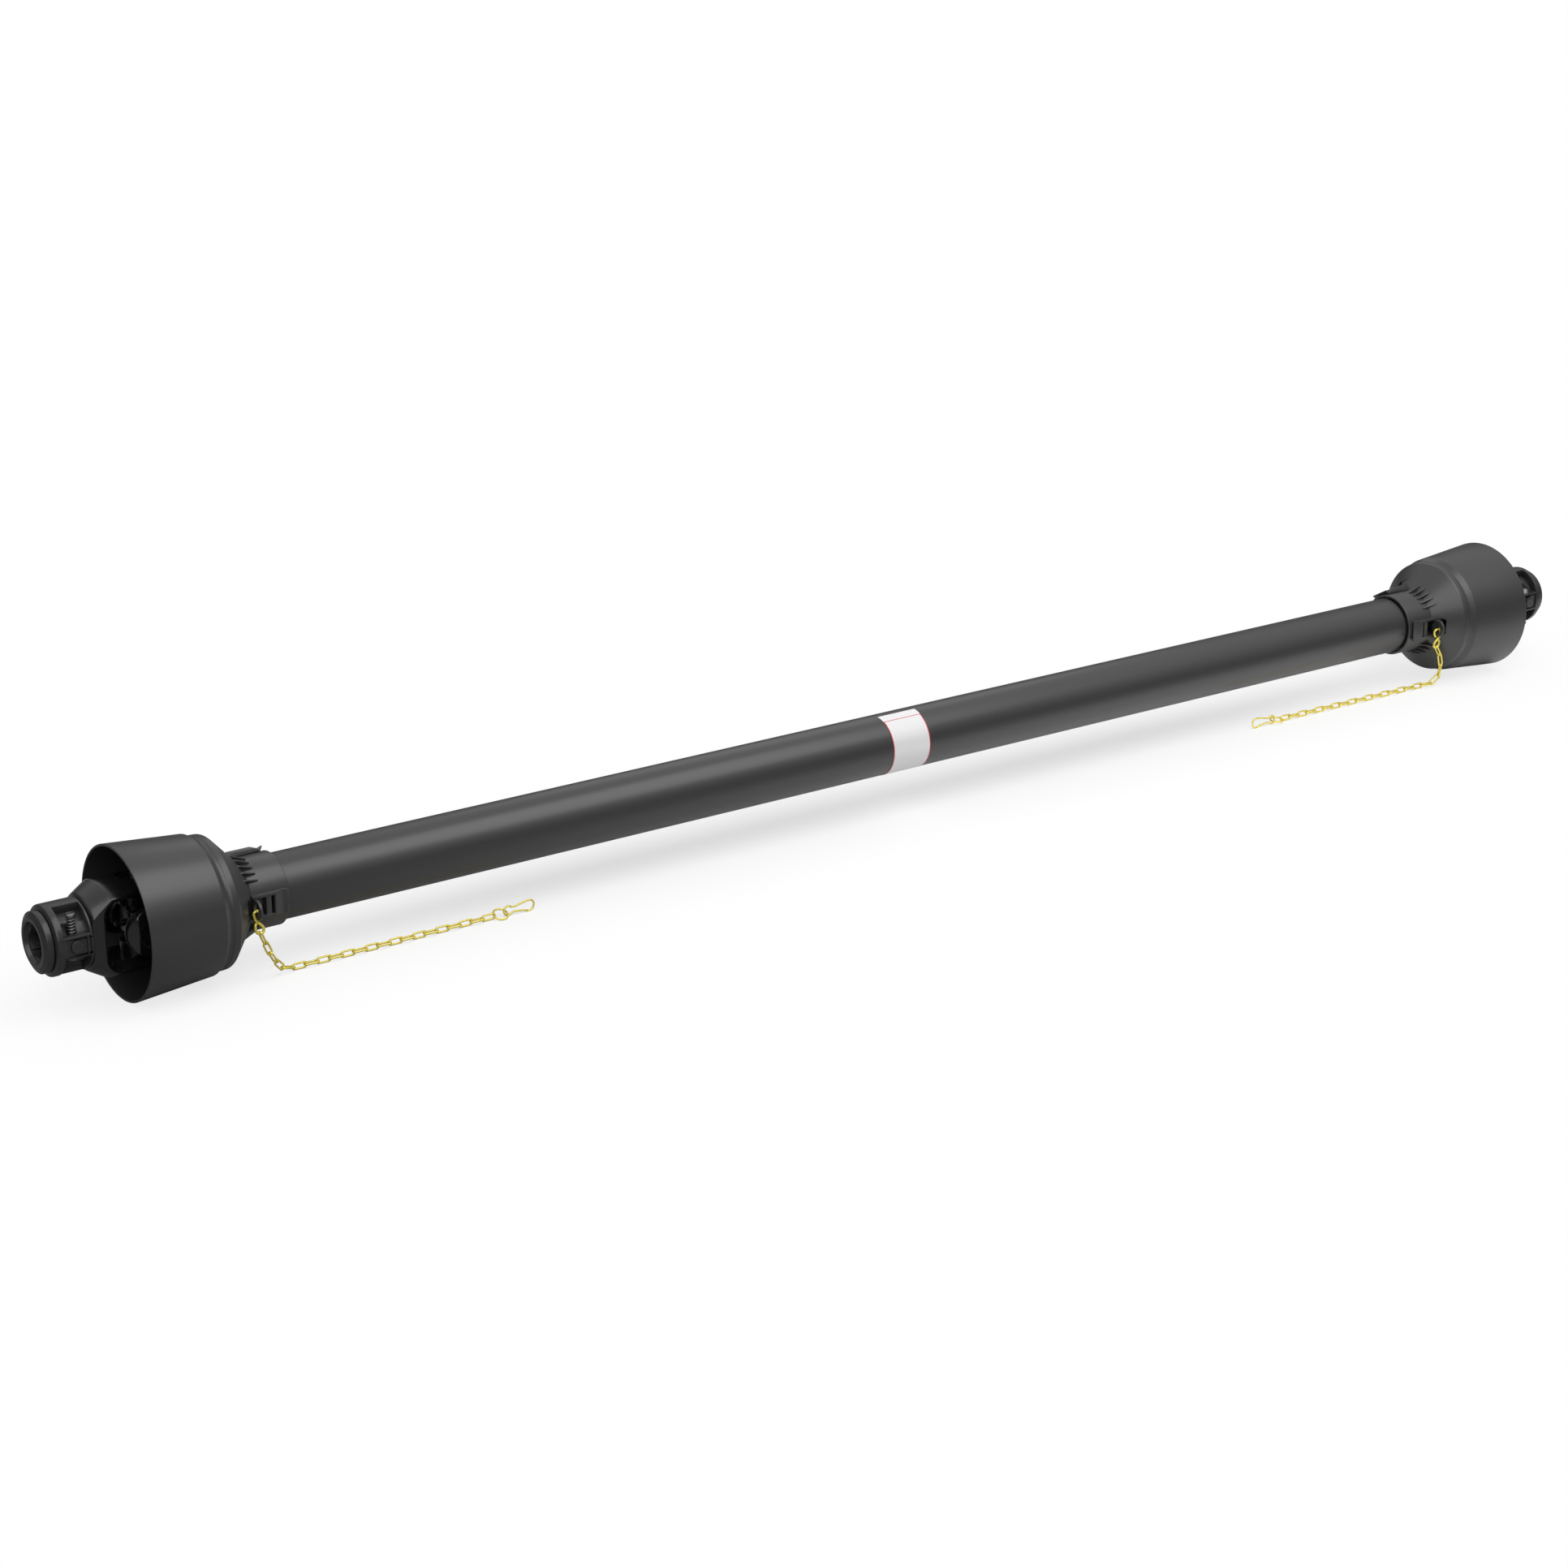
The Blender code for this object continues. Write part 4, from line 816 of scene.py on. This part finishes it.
def latch():
    """Latch housing on the -Y side of the neck, with its opening, its tongue and its lifted tip."""
    outline = [(LATCH_FRONT, LATCH_FOOT, 0), (LATCH_FRONT, LATCH_ROOF, 0.0008),
               (0.1270, LATCH_ROOF, 0.004), (0.1358, 0.0380, 0.003), (0.1394, 0.0404, 0.0004),
               (0.1402, 0.0396, 0.0004), (0.1370, 0.0352, 0)]
    flat = [(x, -radius) for x, radius in rounded(outline, 0.0008)]
    housing = slab("latch", flat, "z", -LATCH_HALF, LATCH_HALF)
    cut(housing, latch_pocket())
    unite(housing, block("tongue", (0.1168, 0.1222), (-0.0405, -0.0325), (-0.0098, 0.0098)))
    return eased(housing, 0.0005, 2, 40)


def chain_ear():
    """The disc at the first latch that the safety chain hangs from."""
    front = EAR_PLACE - EAR_HALF
    back = EAR_PLACE + EAR_HALF
    section = [(front, 0, 0), (front, EAR_RADIUS), (back, EAR_RADIUS), (back, 0, 0)]
    disc = placed(turned("ear", rounded(section, 0.0010), 64), (0, -EAR_OFFSET, 0))
    reach = (front - 0.01, back + 0.01)
    cut(disc, bar("hole", 0.0044, *reach, "x", (0, -EAR_OFFSET, 0.0020), 32))
    cut(disc, block("root", reach, (-0.0355, 0), (-0.02, 0.02)))
    return eased(disc, 0.0003, 2, 60)


def cone_latches():
    """Three latches, and the chain's ear at the first."""
    made = []
    for angle in THIRDS:
        housing = latch()
        made.append(turned_about_x(joined("latch", [housing, chain_ear()]) if not made else housing, angle))
    return joined("latches", made)


def shield_cones():
    for tag, end, bore, centre, turn in (("a", "near", NEAR_BORE, NEAR_CENTRE, 0),
                                         ("b", "far", FAR_BORE, FAR_CENTRE, math.pi)):
        shell = turned(f"shield_cone_{tag}", rim_profile(bore), 128)
        cut(shell, *cone_ports())
        if tag == "b":
            cut(shell, bar("mouth", FAR_MOUTH_RADIUS, FAR_MOUTH_START, 0.1500, "x", sides=128))
        cut(shell, *[turned_about_x(latch_pocket(), angle) for angle in THIRDS])
        for piece, name, nodes in ((shell, "shell", [f"shield_cone_{tag}"]), (cone_fins(), "fins", []),
                                   (cone_latches(), "latches", [])):
            placed(piece, centre, (0, turn, 0))
            piece.name = f"cone_{name}_{tag}"
            dressed(piece, SHIELD_GREY, f"{end}_shield", nodes, 38)


def shield_bearings():
    section = [(0.0920, 0.0271), (0.0920, 0.0378), (0.1010, 0.0378), (0.1010, 0.0271)]
    ring = turned("shield_bearing", rounded(section, 0.0008, 3))
    at_both_ends(ring, NYLON, "shield", ["shield_bearing"])


def plain_tube(name, outer, inner, low, high):
    section = [(low, inner), (low, outer), (high, outer), (high, inner)]
    return placed(turned(name, rounded(section, 0.0005, 3), 128), (0, 0, AXIS_HEIGHT))


def lobed_outline(shift):
    """A three-lobed tube's outline, moved outwards by the shift."""
    points = []
    for step in range(72):
        angle = 2 * math.pi * step / 72
        radius = 0.0252 + shift + 0.0014 * math.cos(3 * angle)
        points.append((radius * math.cos(angle), radius * math.sin(angle)))
    return points


def lobed_tube(name, offset, wall, low, high):
    tube = slab(name, lobed_outline(offset), "x", low, high)
    cut(tube, slab("inside", lobed_outline(offset - wall), "x", low - 0.01, high + 0.01))
    return placed(tube, (0, 0, AXIS_HEIGHT))


def tubes():
    for name, side, outer, inner in (("outer", "near", TUBE_RADIUS, 0.0309),
                                     ("inner", "far", INNER_TUBE_RADIUS, 0.0287)):
        low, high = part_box(f"{name}_shield_tube")
        dressed(plain_tube(f"shield_tube_{name}", outer, inner, low.x, high.x), SHIELD_GREY, f"{side}_shield",
                [f"{name}_shield_tube"])
    for name, side, offset, wall in (("outer", "near", 0.0, 0.0035), ("inner", "far", -0.0039, 0.0040)):
        low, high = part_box(f"{name}_drive_tube")
        dressed(lobed_tube(f"drive_tube_{name}", offset, wall, low.x, high.x), TUBE_STEEL, f"{side}_shaft",
                [f"{name}_drive_tube"])


def label():
    """Bare label round the front of the tube, unrolled into its own UV map."""
    low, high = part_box("label_band")
    steps = 64
    radius = TUBE_RADIUS + 0.0003
    span = LABEL_TOP - LABEL_BOTTOM
    points = []
    for step in range(steps + 1):
        angle = LABEL_BOTTOM + span * step / steps
        points.append((low.x, -radius * math.cos(angle), AXIS_HEIGHT + radius * math.sin(angle)))
    band = drawn_line("label_film", points)
    bpy.ops.mesh.extrude_region_move(TRANSFORM_OT_translate={"value": (high.x - low.x, 0, 0)})
    leave_edit()
    layer = band.data.uv_layers.active or band.data.uv_layers.new(name="label")
    for loop in band.data.loops:
        place = band.data.vertices[loop.vertex_index].co
        angle = math.atan2(place.z - AXIS_HEIGHT, -place.y)
        layer.data[loop.index].uv = ((place.x - low.x) / (high.x - low.x), (angle - LABEL_BOTTOM) / span)
    edit_all(band)
    bpy.ops.mesh.normals_make_consistent(inside=False)
    leave_edit()
    if band.data.polygons[steps // 2].normal.y > 0:
        edit_all(band)
        bpy.ops.mesh.flip_normals()
        leave_edit()
    dressed(band, LABEL_FILM, "near_shield", ["label_band"], 60)


# Safety chains

def chain_joints(points, count, pitch):
    """Where the links meet: equal steps along the line through the points."""
    joints = [points[0]]
    leg = 0
    while len(joints) <= count:
        here = joints[-1]
        while leg < len(points) - 2 and (points[leg + 1] - here).length < pitch:
            leg += 1
        start, end = points[leg], points[leg + 1]
        along = (end - start).normalized()
        foot = (here - start).dot(along)
        aside = (here - start - along * foot).length
        joints.append(start + along * (foot + math.sqrt(max(pitch ** 2 - aside ** 2, 0))))
    return joints


def one_link(pitch):
    """A long welded link in the xz plane: a ring whose halves are pulled apart."""
    bend = LINK_WIDTH / 2 - WIRE
    deselect()
    bpy.ops.mesh.primitive_torus_add(major_segments=24, minor_segments=10, major_radius=bend,
                                     minor_radius=WIRE, rotation=(math.pi / 2, 0, 0))
    link = bpy.context.object
    link.name = "link"
    settle(link)
    pull = (pitch + 2 * WIRE) / 2 - bend
    for sign in (1, -1):
        edit_all(link)
        choose(link, lambda co: co.x * sign > -SAME_PLACE)
        bpy.ops.transform.translate(value=(pull * sign, 0, 0))
        leave_edit()
    return link


def s_hook(direction):
    """Closed S-hook: an upper loop through the ear, a slanting middle and a bowl that its end closes."""
    back = 0.0013
    loop = [(0.0026, back, -0.0106), (0.0048, back, -0.0074), (0.0053, back, -0.0044),
            (0.0040, 0.0004, -0.0020), (0.0005, 0, -0.0010), (-0.0030, 0, -0.0013), (-0.0041, 0, -0.0032)]
    middle = [(-0.0037, 0, -0.0056), (-0.0031, -0.0003, -0.0082), (-0.0016, -0.0008, -0.0114),
              (0.0016, -0.0008, -0.0140), (0.0046, 0, -0.0172)]
    bowl = [(0.0060, 0, -0.0205), (0.0049, 0, -0.0234), (0.0016, 0, -0.0248), (-0.0018, 0, -0.0228),
            (-0.0033, 0, -0.0184), (-0.0027, 0.0005, -0.0146), (-0.0006, back, -0.0126)]
    path = [(direction * x, y, z) for x, y, z in loop + middle + bowl]
    return wire("s_hook", path, HOOK_WIRE, fine=5, round_steps=4)


def snap_hook(direction):
    """Hook of one bent wire: an open eye, a nose and a straight sprung gate whose end laps the nose."""
    eye = []
    for step in range(14):
        angle = math.radians(40 + 275 * step / 13)
        eye.append((SNAP_EYE_RADIUS * math.cos(angle), SNAP_EYE_RADIUS * math.sin(angle)))
    spine = [(0.0212, -0.0046), (0.0222, -0.0060), (0.0262, -0.0056), (0.0296, -0.0030), (0.0306, 0.0010),
             (0.0292, 0.0044), (0.0255, 0.0060), (0.0205, 0.0056), (0.0105, 0.0034), (0.0070, 0.0026),
             (0.0050, 0.0030)]
    gate = [(0.0048, -0.0032), (0.0068, -0.0022), (0.0110, -0.0026), (0.0225, -0.0044), (0.0232, -0.0052)]
    path = [(direction * x, 0, z) for x, z in spine + eye + gate]
    return wire("snap_hook", path, SNAP_WIRE, fine=5, round_steps=4)


def chain_links(joints, pitch):
    """Links between the joints, each turned a quarter turn from the last."""
    plain = one_link(pitch)
    links = []
    for place, (first, second) in enumerate(zip(joints, joints[1:])):
        along = (second - first).normalized()
        side = Vector((0, 0, 1)).cross(along).normalized()
        up = along.cross(side)
        if place % 2 == 0:
            side, up = up, -side
        twin = copied(plain, f"link_{place}")
        turn = Matrix((along, side, up)).transposed().to_4x4()
        twin.matrix_world = Matrix.Translation((first + second) / 2) @ turn
        links.append(settle(twin))
    bpy.data.objects.remove(plain)
    return links


def chain_ring(box, tilt):
    deselect()
    bpy.ops.mesh.primitive_torus_add(major_segments=48, minor_segments=12, major_radius=RING_RADIUS,
                                     minor_radius=WIRE, location=(box[0] + box[1]) / 2, rotation=(tilt, 0, 0))
    return settle(bpy.context.object)


def safety_chain(tag, end, direction, route, tilt, pitch):
    """S-hook, links, ring and snap hook; the direction is that of the shaft's middle."""
    centre = NEAR_CENTRE if tag == "a" else FAR_CENTRE
    ear = Vector((centre.x + direction * EAR_PLACE, -EAR_OFFSET, AXIS_HEIGHT))
    hook = placed(s_hook(direction), ear)
    start = ear + Vector((direction * HOOK_LEAN, 0, HOOK_WIRE - HOOK_DROP))
    lie = [Vector((ear.x + along, aside, height)) for along, aside, height in route]
    run = joined("links", chain_links(chain_joints([start] + lie, LINK_COUNT, pitch), pitch))
    ring = chain_ring(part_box(f"ring_{tag}"), tilt)
    low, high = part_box(f"snap_hook_{tag}")
    eye_x = low.x + SNAP_EYE_INSET if direction > 0 else high.x - SNAP_EYE_INSET
    snap = placed(snap_hook(direction), (eye_x, (low.y + high.y) / 2, low.z + SNAP_EYE_HEIGHT))
    for piece, name, body, node in ((hook, "s_hook", "chain", "s_hook"), (run, "links", "chain", "chain"),
                                    (ring, "ring", "ring", "ring"),
                                    (snap, "snap_hook", "snap_hook", "snap_hook")):
        piece.name = f"chain_{name}_{tag}"
        dressed(piece, YELLOW_ZINC, f"{end}_{body}", [f"{node}_{tag}"], 60)


# Floor, light and camera

def floor_material():
    """Paper that keeps the shadow near the object and, to the camera, fades to white away from it; for every
    other ray its colour is painted shade that darkens far off, so it mirrors darker there.
    """
    material, tree, shader = new_material("white_floor")
    shader.inputs["Roughness"].default_value = 0.9
    shader.inputs["Specular IOR Level"].default_value = 0.1
    seen = camera_ray(tree)
    glow = faded(tree, reach_from(tree, (0, 0, 0), (0.30, 1.0, 0.0)), 0.10, 0.42, 0.55, 1.0)
    # Painted shade: for all rays but the camera's, the floor's colour falls from 0.93 near the shaft to 0.22
    # far off, which darkens its reflections and bounced light.
    dark = faded(tree, reach_from(tree, (0.70, 0.0, 0.0), (0.20, 1.0, 0.0)), 0.06, 0.38, 0.93, 0.22)
    tree.links.new(mixed_value(tree, seen, dark, 0.93), shader.inputs["Base Color"])
    white = add_node(tree, "ShaderNodeEmission")
    share = maths(tree, "MULTIPLY", glow, seen)
    blend = add_node(tree, "ShaderNodeMixShader", {0: share, 1: shader.outputs[0], 2: white.outputs[0]})
    tree.links.new(blend.outputs[0], tree.nodes["Material Output"].inputs["Surface"])
    return material


def floor():
    deselect()
    bpy.ops.mesh.primitive_plane_add(size=30, location=(0, 0, 0))
    paper = bpy.context.object
    paper.name = "floor"
    paper.data.materials.append(floor_material())


def sky():
    """White to the camera, and for light a soft rise from the horizon to overhead."""
    world = bpy.data.worlds.new("studio")
    bpy.context.scene.world = world
    world.use_nodes = True
    tree = world.node_tree
    place = add_node(tree, "ShaderNodeTexCoord")
    split = add_node(tree, "ShaderNodeSeparateXYZ", {0: place.outputs["Generated"]})
    rise = faded(tree, split.outputs["Z"], 0.10, 0.75, 0.10, 0.62)
    background = tree.nodes["Background"]
    background.inputs["Color"].default_value = (1, 1, 1, 1)
    tree.links.new(mixed_value(tree, camera_ray(tree), rise, 1.0), background.inputs["Strength"])


def lamps():
    """Soft square lamps; the fill lamp lights without showing in the gloss."""
    for name, place, aim, size, power in (
            ("key_lamp", (-1.8, -1.9, 2.3), (-0.5, 0, 0), 3.4, 42),
            ("top_lamp", (0.9, -1.2, 2.8), (0.6, 0, 0), 2.4, 26),
            ("fill_lamp", (0.9, -1.2, 2.8), (0.6, 0, 0), 2.4, 48),
            ("rim_lamp", (1.8, 2.4, 2.0), (0.3, 0, 0), 1.8, 4)):
        bpy.ops.object.light_add(type="AREA", location=place)
        lamp = bpy.context.object
        lamp.name = name
        lamp.data.shape = "SQUARE"
        lamp.data.size = size
        lamp.data.energy = power
        lamp.visible_glossy = name != "fill_lamp"
        direction = Vector(aim) - Vector(place)
        lamp.rotation_euler = direction.to_track_quat("-Z", "Y").to_euler()


def photograph_camera():
    bpy.ops.object.camera_add(location=CAMERA_PLACE)
    camera = bpy.context.object
    back = CAMERA_RIGHT.cross(CAMERA_UP).normalized()
    rotation = Matrix((CAMERA_RIGHT.normalized(), CAMERA_UP.normalized(), back)).transposed()
    camera.rotation_euler = rotation.to_euler()
    camera.data.sensor_width = CAMERA_SENSOR
    camera.data.lens = CAMERA_LENS
    camera.data.clip_end = 100
    bpy.context.scene.camera = camera
    bpy.context.scene.view_settings.view_transform = "Standard"


end_yoke()
yoke_hub()
lock_collar()
lock_pins()
lock_springs()
joint_cross()
bearing_cups()
inner_yoke()
shield_cones()
shield_bearings()
tubes()
label()
safety_chain("a", "near", 1, NEAR_ROUTE, NEAR_RING_TILT, NEAR_PITCH)
safety_chain("b", "far", -1, FAR_ROUTE, FAR_RING_TILT, FAR_PITCH)
floor()
sky()
lamps()
photograph_camera()
